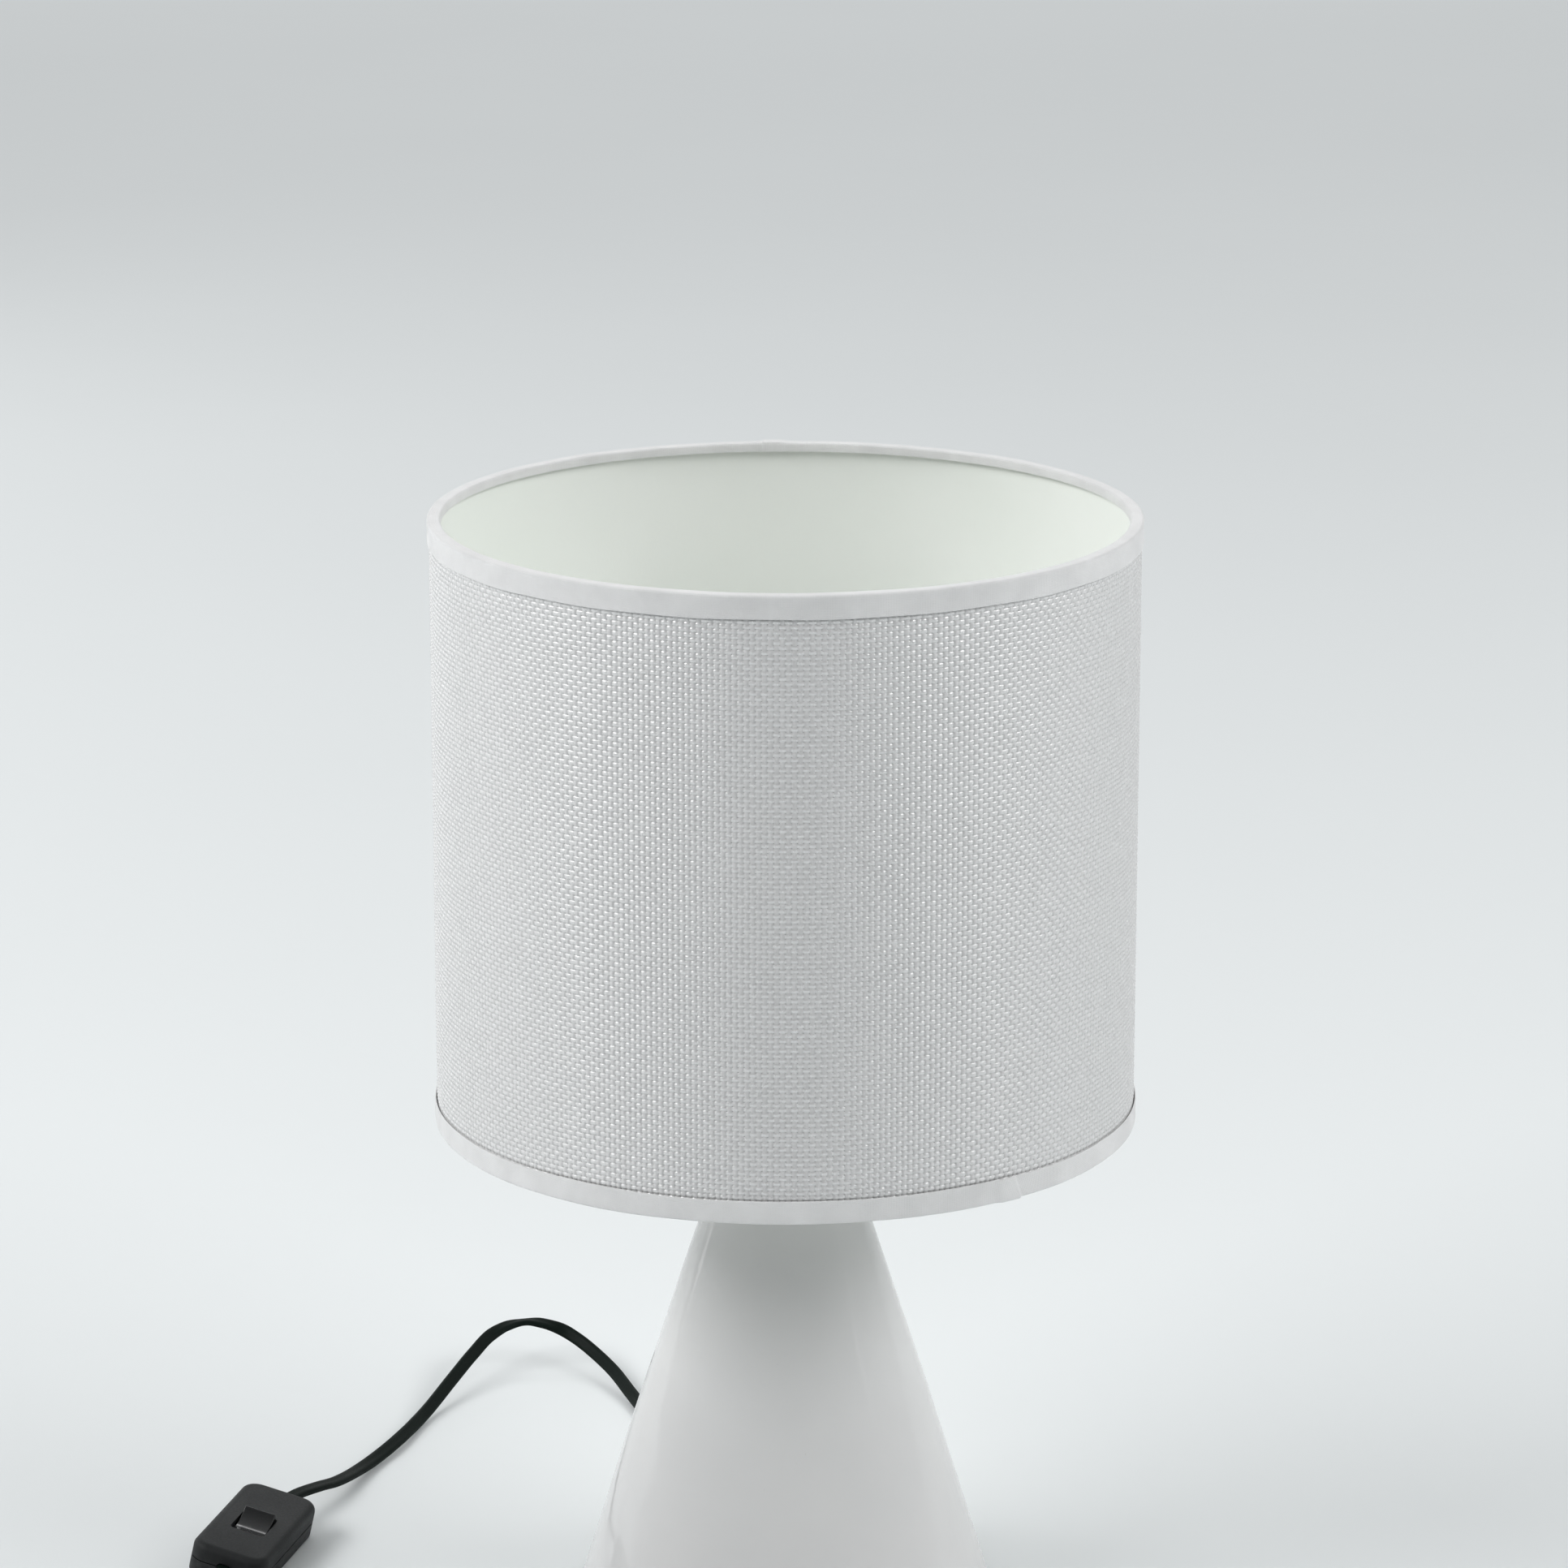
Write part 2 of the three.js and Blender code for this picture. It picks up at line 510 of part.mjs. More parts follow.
function leads() {
  const start = exitPoint(RELIEF_END + GAP, EXIT_HEIGHT);
  const lampToSwitch = new LevelRoute([start, exitPoint(RELIEF_END + 5, EXIT_HEIGHT - 0.3), ...points([
    [-34.6, 109, 8.6], [-40.3, 127, 4], [-45.6, 144, 1.7], [-51.6, 163.4, 1.9], [-58.8, 184.5, 3.2],
    [-67, 204.8, 5.8], [-80, 223, 10.6], [-87.8, 228, 13.4], [-97.1, 229.2, 15.3],
    [-105.9, 226.4, 15.2], [-112.8, 220.1, 13.6], [-119.5, 206.5, 10.5], [-126.4, 189.6, 6.8],
    [-135.6, 163, 2.9], [-145, 132.6, 2.8], [-154.6, 109, 2.8], [-163.2, 87.6, 5.2],
    [-169.2, 76.3, 7.5], [-175.8, 65.4, 9],
  ]), switchAxis(-1, 4), switchAxis(-1, GAP)], ARCH_TWIST);
  lead('cord_lamp_to_switch', lampToSwitch, 46);

  const switchToCoil = new LevelRoute([switchAxis(1, GAP), switchAxis(1, 5), ...points([
    [-201.6, -22.5, 7.2], [-203, -32.5, 4.3], [-203.8, -40.5, 3.3], [-203.9, -47.3, 3.2],
  ])], [[0, 13], [0.3, 13], [0.8, 0], [1, 0]]);
  lead('cord_switch_to_coil', switchToCoil, 8);

  const coilToPlug = new LevelRoute(points([
    [-153.4, PLUG_Y - 1.2, 8.1], [-146, PLUG_Y - 0.6, 7.2], [-137, PLUG_Y - 0.2, 6.3],
    [-128, PLUG_Y, 6.5], [PLUG_RELIEF_START - GAP, PLUG_Y, PLUG_AXIS_Z],
  ]));
  lead('cord_coil_to_plug', coilToPlug, 6);

  const inner = new THREE.CatmullRomCurve3([
    exitPoint(RELIEF_INNER_END - GAP, EXIT_HEIGHT), exitPoint(40, EXIT_HEIGHT + 1),
    exitPoint(18, 28), exitPoint(5, 62), exitPoint(0, 112), exitPoint(0, 150),
    exitPoint(0, HOLDER_Z + 7),
  ]);
  lead('inner_cord', inner, 26);

  const chamfer = 2.2;
  const coil = turned([
    [COIL_INNER, COIL_BOTTOM + chamfer], [COIL_INNER + chamfer, COIL_BOTTOM],
    [COIL_OUTER - chamfer, COIL_BOTTOM], [COIL_OUTER, COIL_BOTTOM + chamfer],
    [COIL_OUTER, COIL_TOP - chamfer], [COIL_OUTER - chamfer, COIL_TOP],
    [COIL_INNER + chamfer, COIL_TOP], [COIL_INNER, COIL_TOP - chamfer],
    [COIL_INNER, COIL_BOTTOM + chamfer],
  ], 32);
  place('cord_coil', coil, materials.cord).position.copy(COIL_CENTRE);
}

function coilTie() {
  const strap = 0.6;
  const [width, height] = [COIL_OUTER - COIL_INNER + 2 * GAP, COIL_TOP - COIL_BOTTOM + 2 * GAP];
  const outline = roundedRectangle(width + 2 * strap, height + 2 * strap, 2.6);
  outline.holes.push(roundedRectangle(width, height, 2));
  const band = upright(outline, -2.5, 2.5, 3).rotateX(Math.PI / 2);
  const tie = place('coil_tie', band, materials.blackGloss);
  const direction = THREE.MathUtils.degToRad(200);
  const middle = (COIL_INNER + COIL_OUTER) / 2;
  tie.rotation.z = direction;
  tie.position.set(
    COIL_CENTRE.x + middle * Math.cos(direction),
    COIL_CENTRE.y + middle * Math.sin(direction),
    (COIL_BOTTOM + COIL_TOP) / 2,
  );
}

// ---------- Inline switch, drawn along +X about its own centre ----------

const SWITCH_WALL = 1.8;
const SWITCH_SPLIT = 6.4;
const PIVOT = { x: 2.5, z: 9.2 };
const ROCKER = { halfLength: 7, halfWidth: 5.7, tilt: THREE.MathUtils.degToRad(14) };
const BRIDGE = { z: 4.5, halfLength: 6.5, tilt: THREE.MathUtils.degToRad(8) };
const SWITCH_SCREWS = [[-22, 9], [22, -9]];

function switchShell(bottom, top, grow, height) {
  const [length, width, radius] = [SWITCH_LENGTH, SWITCH_WIDTH, 6.5];
  const bevel = { bevelThickness: grow, bevelSize: grow, bevelOffset: -grow, bevelSegments: 1 };
  return new THREE.ExtrudeGeometry(roundedRectangle(length, width, radius), {
    depth: height - 2 * grow, curveSegments: 3, ...bevel,
  }).translate(0, 0, bottom === 0 ? grow : top - height + grow);
}

function inlineSwitch() {
  const group = new THREE.Group();
  group.position.copy(SWITCH_CENTRE);
  group.rotation.set(-SWITCH_ROLL, 0, SWITCH_TURN, 'ZYX');
  lamp.add(group);

  const edge = 1.4;
  const whole = () => switchShell(0, SWITCH_HEIGHT, edge, SWITCH_HEIGHT);
  const [innerLength, innerWidth] = [SWITCH_LENGTH - 2 * SWITCH_WALL, SWITCH_WIDTH - 2 * SWITCH_WALL];
  const room = (bottom, top) => upright(roundedRectangle(innerLength, innerWidth, 4.7), bottom, top);
  const half = SWITCH_LENGTH;
  const coverFloor = SWITCH_SPLIT + GAP;

  // Lower half: a tray with two countersunk screw holes and a post behind each.
  const floor = 1.8;
  const post = ([x, y], from, to) => disc(3, from, to, 12).translate(x, y, 0);
  const through = ([x, y]) => disc(1.7, -1, SWITCH_SPLIT + 1, 12).translate(x, y, 0);
  const countersink = ([x, y]) => disc(2.9, -1, 1.5, 12).translate(x, y, 0);
  const tray = cut(whole(), box(0, 0, SWITCH_SPLIT + half / 2, half * 2, half, half),
    room(floor, SWITCH_SPLIT + 5));
  const posted = join(tray, ...SWITCH_SCREWS.map((s) => post(s, floor - 0.5, SWITCH_SPLIT - 0.2)));
  place('switch_base', cut(posted, ...SWITCH_SCREWS.map(through), ...SWITCH_SCREWS.map(countersink)),
    materials.blackPlastic, group);

  // Upper half: a cover with the rocker's opening, two lugs for its axle and two screw posts.
  const roof = SWITCH_HEIGHT - SWITCH_WALL;
  const window = box(PIVOT.x, 0, SWITCH_HEIGHT, 2 * ROCKER.halfLength + 3, 2 * ROCKER.halfWidth + 1, 8);
  const cover = cut(whole(), box(0, 0, coverFloor - half / 2, half * 2, half, half),
    room(coverFloor - 5, roof), window);
  const lugBottom = PIVOT.z - 1.8;
  const lug = (side) => box(PIVOT.x, side * 7.3, (roof + lugBottom) / 2 + 0.2, 4, 1.8,
    roof - lugBottom + 0.4);
  const joined = join(cover, lug(-1), lug(1), ...SWITCH_SCREWS.map((s) => post(s, coverFloor, roof + 0.5)));
  const axleHole = disc(1.3, -9, 9, 12).rotateX(Math.PI / 2).translate(PIVOT.x, 0, PIVOT.z);
  const pilot = ([x, y]) => disc(1.6, coverFloor - 1, roof - 1.4, 12).translate(x, y, 0);
  place('switch_cover', cut(joined, axleHole, ...SWITCH_SCREWS.map(pilot)), materials.blackPlastic, group);
  SWITCH_SCREWS.forEach(([x, y], i) => {
    place(`switch_screw_${i + 1}`, screw(x, y, 0.3, 8, 1.25, 2.5, 0.9), materials.steel, group);
  });

  // Rocker: two faces that meet in a shallow valley, drawn about its pivot, then tilted.
  const outline = new THREE.Shape();
  outline.moveTo(-ROCKER.halfLength, -0.6);
  outline.lineTo(-2.4, -2.8);
  outline.lineTo(2.4, -2.8);
  outline.lineTo(ROCKER.halfLength, -0.6);
  outline.lineTo(ROCKER.halfLength, 5.4);
  outline.quadraticCurveTo(0, 1.6, -ROCKER.halfLength, 5.4);
  outline.closePath();
  const profile = new THREE.ExtrudeGeometry(outline, {
    depth: 2 * ROCKER.halfWidth, bevelEnabled: false, curveSegments: 6,
  }).translate(0, 0, -ROCKER.halfWidth).rotateX(Math.PI / 2);
  const bore = disc(1.25, -9, 9, 12).rotateX(Math.PI / 2);
  const rocker = place('switch_rocker', cut(profile, bore), materials.blackGloss, group);
  rocker.position.set(PIVOT.x, 0, PIVOT.z);
  rocker.rotation.y = ROCKER.tilt;
  const axle = disc(1, -8.1, 8.1, 12).rotateX(Math.PI / 2);
  place('rocker_axle', axle, materials.steel, group).position.set(PIVOT.x, 0, PIVOT.z);
  const plunger = place('switch_plunger', turned([
    [0, -4.05], [0.8, -3.95], [1.2, -3.65], [1.2, -3.1], [0, -3.1]], 12), materials.brass, group);
  plunger.position.copy(rocker.position);
  plunger.rotation.copy(rocker.rotation);

  // Contact bridge: a brass see-saw that the plunger tips the opposite way.
  const bridge = place('contact_bridge', box(0, 0, 0, 2 * BRIDGE.halfLength, 4, 0.7),
    materials.brass, group);
  bridge.position.set(PIVOT.x, 0, BRIDGE.z);
  bridge.rotation.y = -BRIDGE.tilt;
  const bridgeDrop = BRIDGE.halfLength * Math.sin(BRIDGE.tilt) + 0.8;
  const anvilTop = BRIDGE.z - bridgeDrop;
  const standZ = floor + GAP;
  place('fulcrum_terminal', box(PIVOT.x, 0, (standZ + BRIDGE.z - 0.8) / 2, 3, 6, BRIDGE.z - 0.8 - standZ),
    materials.brass, group);
  place('switched_terminal', box(PIVOT.x - BRIDGE.halfLength - 1.5, 0, (standZ + anvilTop) / 2,
    6, 6, anvilTop - standZ), materials.brass, group);
}

// ---------- Plug, drawn along +X from the start of its strain relief ----------

function plug() {
  const group = new THREE.Group();
  group.position.set(PLUG_RELIEF_START, PLUG_Y, 0);
  lamp.add(group);
  const reliefLength = 22;
  const bodyLength = 36;
  const bodyHeight = 13.7;
  const halfWidth = 17.6;
  const relief = turned([[0, 0], [3, 0], [4.6, reliefLength - 2], [4.6, reliefLength], [0, reliefLength]],
    SMALL_ROUND).rotateY(Math.PI / 2).translate(0, 0, PLUG_AXIS_Z);
  place('plug_strain_relief', relief, materials.blackPlastic, group);

  const start = reliefLength + GAP;
  const front = start + bodyLength;
  const outline = new THREE.Shape();
  outline.moveTo(start, -5.5);
  outline.bezierCurveTo(start + 10, -6, start + 12, -halfWidth, start + 24, -halfWidth);
  outline.lineTo(front, -halfWidth);
  outline.lineTo(front, halfWidth);
  outline.lineTo(start + 24, halfWidth);
  outline.bezierCurveTo(start + 12, halfWidth, start + 10, 6, start, 5.5);
  outline.closePath();
  const bevel = 1.6;
  const body = new THREE.ExtrudeGeometry(outline, {
    depth: bodyHeight - 2 * bevel, curveSegments: 7, bevelThickness: bevel, bevelSize: bevel,
    bevelOffset: -bevel, bevelSegments: 2,
  }).translate(0, 0, bevel);
  place('plug_body', body, materials.blackPlastic, group);

  const pinSpacing = 18.6;
  ['left', 'right'].forEach((name, i) => {
    const y = (i - 0.5) * pinSpacing;
    const sleeve = turned([[0, 0], [1.9, 0], [1.9, 10], [0, 10]], 12);
    const pin = turned([[0, 0], [2, 0], [2, 7.6], [1.4, 8.7], [0, 8.7]], 12);
    const sleeveMesh = place(`plug_pin_sleeve_${name}`, sleeve, materials.blackPlastic, group);
    const pinMesh = place(`plug_pin_${name}`, pin, materials.nickel, group);
    [sleeveMesh, pinMesh].forEach((mesh, part) => {
      mesh.rotation.y = Math.PI / 2;
      mesh.position.set(front + GAP + part * (10 + THIN_GAP), y, PLUG_AXIS_Z);
    });
  });
}

ceramicBody();
leadExit();
neck();
holder();
bulb();
shade();
leads();
coilTie();
inlineSwitch();
plug();

export default lamp;
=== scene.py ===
"""Looks for the table lamp: glazed cone, woven drum shade, flat twin lead with switch and plug.

Sizes are in millimetres, as in the CAD source, and become metres where a mesh is made.
"""
import math

import bmesh
import bpy
import numpy as np
from mathutils import Matrix, Vector


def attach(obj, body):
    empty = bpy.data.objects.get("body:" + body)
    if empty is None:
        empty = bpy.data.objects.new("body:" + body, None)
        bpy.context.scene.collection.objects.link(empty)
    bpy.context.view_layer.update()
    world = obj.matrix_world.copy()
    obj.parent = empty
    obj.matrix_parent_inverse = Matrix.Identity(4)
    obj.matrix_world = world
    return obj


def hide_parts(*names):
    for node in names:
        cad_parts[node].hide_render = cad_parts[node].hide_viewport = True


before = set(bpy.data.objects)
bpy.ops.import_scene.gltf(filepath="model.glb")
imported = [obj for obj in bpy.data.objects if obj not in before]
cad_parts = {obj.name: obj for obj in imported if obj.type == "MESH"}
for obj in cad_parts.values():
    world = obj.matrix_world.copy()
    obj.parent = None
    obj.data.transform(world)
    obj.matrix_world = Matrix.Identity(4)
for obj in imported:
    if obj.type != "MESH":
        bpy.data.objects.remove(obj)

MM = 0.001
TAU = 2 * math.pi
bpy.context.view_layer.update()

# ---------- Driving dimensions, the CAD's own ----------

GAP = 0.3
THIN_GAP = 0.2

LAMP_HEIGHT = 385.0
SHADE_HEIGHT = 210.0
SHADE_RADIUS = 120.0
SHADE_BOTTOM = LAMP_HEIGHT - SHADE_HEIGHT

CONE_TOP = 177.0
CONE_FOOT = 2.1
CONE_TOP_RADIUS = 16.0
CONE_SLOPE = 0.338
CONE_BULGE = 0.000107
CONE_WALL = 4.5
CONE_ROOF = 6.0
NIPPLE_RADIUS = 5.0
NIPPLE_BORE = 3.7

CORD_WIDTH = 4.9
CORD_THICKNESS = 2.4
EXIT_HEIGHT = 12.0
EXIT_TURN = math.radians(17.6)

FINE = 192                    # segments of the large turned parts
ROUND = 96                    # of the middle ones
SMALL = 48                    # and of the small ones


def cone_radius(z):
    """Outside radius of the cone at a height above the table."""
    below = CONE_TOP - z
    return CONE_TOP_RADIUS + CONE_SLOPE * below - CONE_BULGE * below * below


# ---------- Camera ----------

CAMERA_ELEVATION = math.radians(14.973)
CAMERA_DISTANCE = 2.10479
CAMERA_TARGET = Vector((-0.0005, 0, 0.29136))
CAMERA_LENS = 142.72


def make_camera():
    data = bpy.data.cameras.new("camera")
    data.sensor_width = 36
    data.lens = CAMERA_LENS
    data.clip_start, data.clip_end = 0.05, 60
    camera = bpy.data.objects.new("camera", data)
    bpy.context.scene.collection.objects.link(camera)
    back = Vector((0, -math.cos(CAMERA_ELEVATION), math.sin(CAMERA_ELEVATION)))
    camera.location = CAMERA_TARGET + back * CAMERA_DISTANCE
    camera.rotation_euler = (math.pi / 2 - CAMERA_ELEVATION, 0, 0)
    bpy.context.scene.camera = camera


# ---------- Making meshes ----------

def add_mesh(name, vertices, faces, sharp=35, uv=None):
    """A smooth-shaded object from vertices in millimetres. Edges over `sharp` degrees stay crisp."""
    mesh = bpy.data.meshes.new(name)
    mesh.from_pydata((np.asarray(vertices, float) * MM).tolist(), [], faces)
    made = bmesh.new()
    made.from_mesh(mesh)
    bmesh.ops.recalc_face_normals(made, faces=made.faces)
    made.to_mesh(mesh)
    made.free()
    mesh.shade_smooth()
    if sharp:
        mesh.set_sharp_from_angle(angle=math.radians(sharp))
    if uv is not None:
        layer = mesh.uv_layers.new(name="weave")
        corners = np.zeros(len(mesh.loops), np.int32)
        mesh.loops.foreach_get("vertex_index", corners)
        layer.data.foreach_set("uv", np.asarray(uv, np.float32)[corners].ravel())
    made = bpy.data.objects.new(name, mesh)
    bpy.context.scene.collection.objects.link(made)
    return made


def fit_out(piece, material, body="lamp", stands_for=()):
    """Gives a new piece its material and its body, and hides the CAD nodes that it stands for."""
    piece.data.materials.append(material)
    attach(piece, body)
    if stands_for:
        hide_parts(*([stands_for] if isinstance(stands_for, str) else stands_for))
    return piece


def rounded(corners, closed=False, steps=4):
    """A 2-D outline from corners given as (x, y) or (x, y, radius), with arcs at the radii."""
    out = []
    count = len(corners)
    for i, corner in enumerate(corners):
        point = np.array(corner[:2], float)
        at_end = not closed and i in (0, count - 1)
        if len(corner) < 3 or at_end:
            out.append(point)
            continue
        before = np.array(corners[i - 1][:2], float) - point
        after = np.array(corners[(i + 1) % count][:2], float) - point
        lengths = np.linalg.norm(before), np.linalg.norm(after)
        before, after = before / lengths[0], after / lengths[1]
        half = math.acos(max(-1, min(1, float(before @ after)))) / 2
        reach = min(corner[2] / math.tan(half), 0.49 * min(lengths))
        radius = reach * math.tan(half)
        centre = point + (before + after) / np.linalg.norm(before + after) * radius / math.sin(half)
        start, end = point + before * reach - centre, point + after * reach - centre
        sweep = math.pi - 2 * half
        for k in range(steps + 1):
            share = k / steps
            out.append(centre + (math.sin((1 - share) * sweep) * start
                                 + math.sin(share * sweep) * end) / math.sin(sweep))
    return out


def dense(profile, step):
    """The same outline with points no further apart than a step."""
    out = [profile[0]]
    for a, b in zip(profile, profile[1:]):
        pieces = max(1, math.ceil(np.linalg.norm(np.array(b) - np.array(a)) / step))
        out += [np.array(a) + (np.array(b) - np.array(a)) * k / pieces for k in range(1, pieces + 1)]
    return out


def revolve(profile, segments, closed=False, relief=None):
    """Vertices and faces turned about +Z from (radius, height) pairs.

    relief(angles, radius, height) may add to the radius round the ring."""
    angles = np.arange(segments) * TAU / segments
    vertices, rings, faces = [], [], []
    for radius, height in profile:
        if radius < 1e-6:
            rings.append([len(vertices)] * segments)
            vertices.append((0, 0, height))
            continue
        radii = radius + (relief(angles, radius, height) if relief else np.zeros(segments))
        rings.append(list(range(len(vertices), len(vertices) + segments)))
        vertices += zip(radii * np.cos(angles), radii * np.sin(angles), [height] * segments)
    pairs = list(zip(rings, rings[1:])) + ([(rings[-1], rings[0])] if closed else [])
    for low, high in pairs:
        for i in range(segments):
            j = (i + 1) % segments
            corners = [low[i], low[j], high[j], high[i]]
            unique = list(dict.fromkeys(corners))
            if len(unique) > 2:
                faces.append(unique)
    return vertices, faces


def turned(name, corners, segments=ROUND, closed=False, relief=None, step=None, matrix=None,
           sharp=35):
    """A turned piece about +Z, from profile corners with optional radii."""
    profile = rounded(corners, closed)
    if step:
        profile = dense(profile, step)
    vertices, faces = revolve(profile, segments, closed, relief)
    return add_mesh(name, moved(vertices, matrix), faces, sharp)


def moved(vertices, matrix):
    """Vertices in millimetres taken through a matrix in millimetres."""
    if matrix is None:
        return vertices
    a = np.array(matrix)
    return np.asarray(vertices, float) @ a[:3, :3].T + a[:3, 3]


def loft(rings, wrap=False):
    """Vertices and faces joining rings of equal count, with end faces unless they wrap round."""
    count = len(rings[0])
    vertices = [tuple(p) for ring in rings for p in ring]
    faces = []
    pairs = [(k, k + 1) for k in range(len(rings) - 1)] + ([(len(rings) - 1, 0)] if wrap else [])
    for a, b in pairs:
        for i in range(count):
            j = (i + 1) % count
            faces.append((a * count + i, a * count + j, b * count + j, b * count + i))
    if not wrap:
        faces.append(tuple(range(count)))
        faces.append(tuple(range((len(rings) - 1) * count, len(rings) * count)))
    return vertices, faces


def rounded_rectangle(length, width, radius, steps=8):
    """Corner points of a rectangle with round corners, as many for every size."""
    x, y = length / 2 - radius, width / 2 - radius
    out = []
    for cx, cy, first in ((x, y, 0), (-x, y, 1), (-x, -y, 2), (x, -y, 3)):
        for k in range(steps + 1):
            angle = (first + k / steps) * math.pi / 2
            out.append((cx + radius * math.cos(angle), cy + radius * math.sin(angle)))
    return out


def slab(length, width, corner, bottom, top, low_edge=0.0, high_edge=0.0, steps=5):
    """A block with round corners and filleted lower and upper edges."""
    rings = []

    def ring(inset, z):
        radius = max(corner - inset, 0.2)
        outline = rounded_rectangle(length - 2 * inset, width - 2 * inset, radius)
        rings.append([(x, y, z) for x, y in outline])

    for k in range(steps + 1 if low_edge else 1):
        angle = k / steps * math.pi / 2
        ring(low_edge * (1 - math.sin(angle)), bottom + low_edge * (1 - math.cos(angle)))
    for k in range(steps + 1 if high_edge else 1):
        angle = k / steps * math.pi / 2
        ring(high_edge * (1 - math.cos(angle)), top - high_edge * (1 - math.sin(angle)))
    return loft(rings)


def cut(piece, *cutters, sharp=35):
    """Takes the cutters' shapes out of a piece, and removes them."""
    for cutter in cutters:
        modifier = piece.modifiers.new("cut", "BOOLEAN")
        modifier.object = cutter
        modifier.solver = "EXACT"
    apply_modifiers(piece, sharp)
    for cutter in cutters:
        bpy.data.objects.remove(cutter)
    return piece


def apply_modifiers(piece, sharp=35):
    bpy.context.view_layer.update()
    graph = bpy.context.evaluated_depsgraph_get()
    mesh = bpy.data.meshes.new_from_object(piece.evaluated_get(graph))
    piece.modifiers.clear()
    piece.data = mesh
    mesh.shade_smooth()
    mesh.set_sharp_from_angle(angle=math.radians(sharp))


def soften(piece, width, segments=3, angle=35):
    """Rounds a piece's crisp edges by a width in millimetres."""
    modifier = piece.modifiers.new("soften", "BEVEL")
    modifier.width = width * MM
    modifier.segments = segments
    modifier.limit_method = "ANGLE"
    modifier.angle_limit = math.radians(angle)
    modifier.harden_normals = True
    modifier.use_clamp_overlap = True
    return piece


def smoothstep(value, low, high):
    share = np.clip((np.asarray(value, float) - low) / (high - low), 0, 1)
    return share * share * (3 - 2 * share)


def ripple(angles, seed, waves, size):
    """A smooth uneven wave round a ring, the same each run."""
    draw = np.random.default_rng(seed)
    total = np.zeros_like(np.asarray(angles, float))
    for count in waves:
        total += draw.normal() * np.sin(count * angles + draw.uniform(0, TAU)) / len(waves)
    return total * size


# ---------- Materials ----------

class Look:
    """A material made of nodes, ending in one Principled shader."""

    def __init__(self, name, **sockets):
        self.material = bpy.data.materials.new(name)
        self.material.use_nodes = True
        self.tree = self.material.node_tree
        self.shader = self.tree.nodes["Principled BSDF"]
        self.coordinates = self.node("ShaderNodeTexCoord").outputs["Object"]
        for socket, value in sockets.items():
            self.set(socket.replace("_", " "), value)

    def node(self, kind, inputs=None, **settings):
        made = self.tree.nodes.new(kind)
        for key, value in settings.items():
            setattr(made, key, value)
        for key, value in (inputs or {}).items():
            self.join(value, made.inputs[key])
        return made

    def join(self, value, socket):
        if isinstance(value, bpy.types.NodeSocket):
            self.tree.links.new(value, socket)
        else:
            socket.default_value = value

    def set(self, socket, value):
        titles = {name.lower(): name for name in self.shader.inputs.keys()}
        self.join(value, self.shader.inputs[titles[socket.lower()]])

    def math(self, operation, a, b=0.0, clamp=False):
        made = self.node("ShaderNodeMath", {0: a, 1: b}, operation=operation, use_clamp=clamp)
        return made.outputs[0]

    def stretched(self, stretch):
        return self.node("ShaderNodeMapping", {"Vector": self.coordinates, "Scale": stretch}).outputs[0]

    def noise(self, scale, detail=3.0, rough=0.5, stretch=None):
        """Noise of about `scale` cells a metre."""
        vector = self.stretched(stretch) if stretch else self.coordinates
        inputs = {"Vector": vector, "Scale": scale, "Detail": detail, "Roughness": rough}
        return self.node("ShaderNodeTexNoise", inputs).outputs[0]

    def cells(self, scale, feature="F1"):
        inputs = {"Vector": self.coordinates, "Scale": scale}
        return self.node("ShaderNodeTexVoronoi", inputs, feature=feature).outputs[0]

    def spread(self, value, low, high, start=0.0, end=1.0):
        """A value from low..high mapped to start..end."""
        inputs = {"Value": value, "From Min": low, "From Max": high, "To Min": start, "To Max": end}
        return self.node("ShaderNodeMapRange", inputs).outputs[0]

    def mixed(self, factor, a, b):
        made = self.node("ShaderNodeMix", {0: factor, 6: a, 7: b}, data_type="RGBA")
        return made.outputs[2]

    def height(self):
        return self.node("ShaderNodeSeparateXYZ", {0: self.coordinates}).outputs[2]

    def bump(self, height, depth, strength=1.0, under=None):
        """Bump of a real depth in millimetres."""
        inputs = {"Height": height, "Distance": depth * MM, "Strength": strength}
        if under is not None:
            inputs["Normal"] = under
        return self.node("ShaderNodeBump", inputs).outputs[0]


def grey(level, warm=0.0):
    """A nearly neutral linear colour, warmer above zero and cooler below."""
    return (level * (1 + warm), level, level * (1 - warm), 1)


def moulded(name, colour, worn, roughness, grain, depth, **sockets):
    """Moulded plastic: spark-eroded grain, faint blotches, and edges rubbed a little lighter."""
    look = Look(name, **sockets)
    fine, broad = look.noise(grain, 4), look.noise(45, 3)
    edges = look.node("ShaderNodeNewGeometry").outputs["Pointiness"]
    wear = look.spread(edges, 0.52, 0.6, 0, 0.6)
    patched = look.math("MULTIPLY", wear, look.spread(look.noise(400, 2), 0.4, 0.62))
    look.set("base color", look.mixed(look.math("ADD", patched, look.spread(
        broad, 0.3, 0.7, 0, 0.22), True), colour, worn))
    look.set("roughness", look.spread(look.math("ADD", fine, broad), 0.7, 1.3, *roughness))
    look.set("normal", look.bump(fine, depth))
    return look.material


def metal(name, colour, tarnish, roughness, scale=900):
    """Plated or drawn metal with fine marks and a little tarnish."""
    look = Look(name, metallic=1.0)
    marks = look.noise(scale, 3, stretch=(1, 1, 0.15))
    blotch = look.noise(120, 4)
    look.set("base color", look.mixed(look.spread(blotch, 0.45, 0.75), colour, tarnish))
    look.set("roughness", look.spread(look.math("ADD", marks, blotch), 0.7, 1.3, *roughness))
    look.set("normal", look.bump(marks, 0.01))
    return look.material


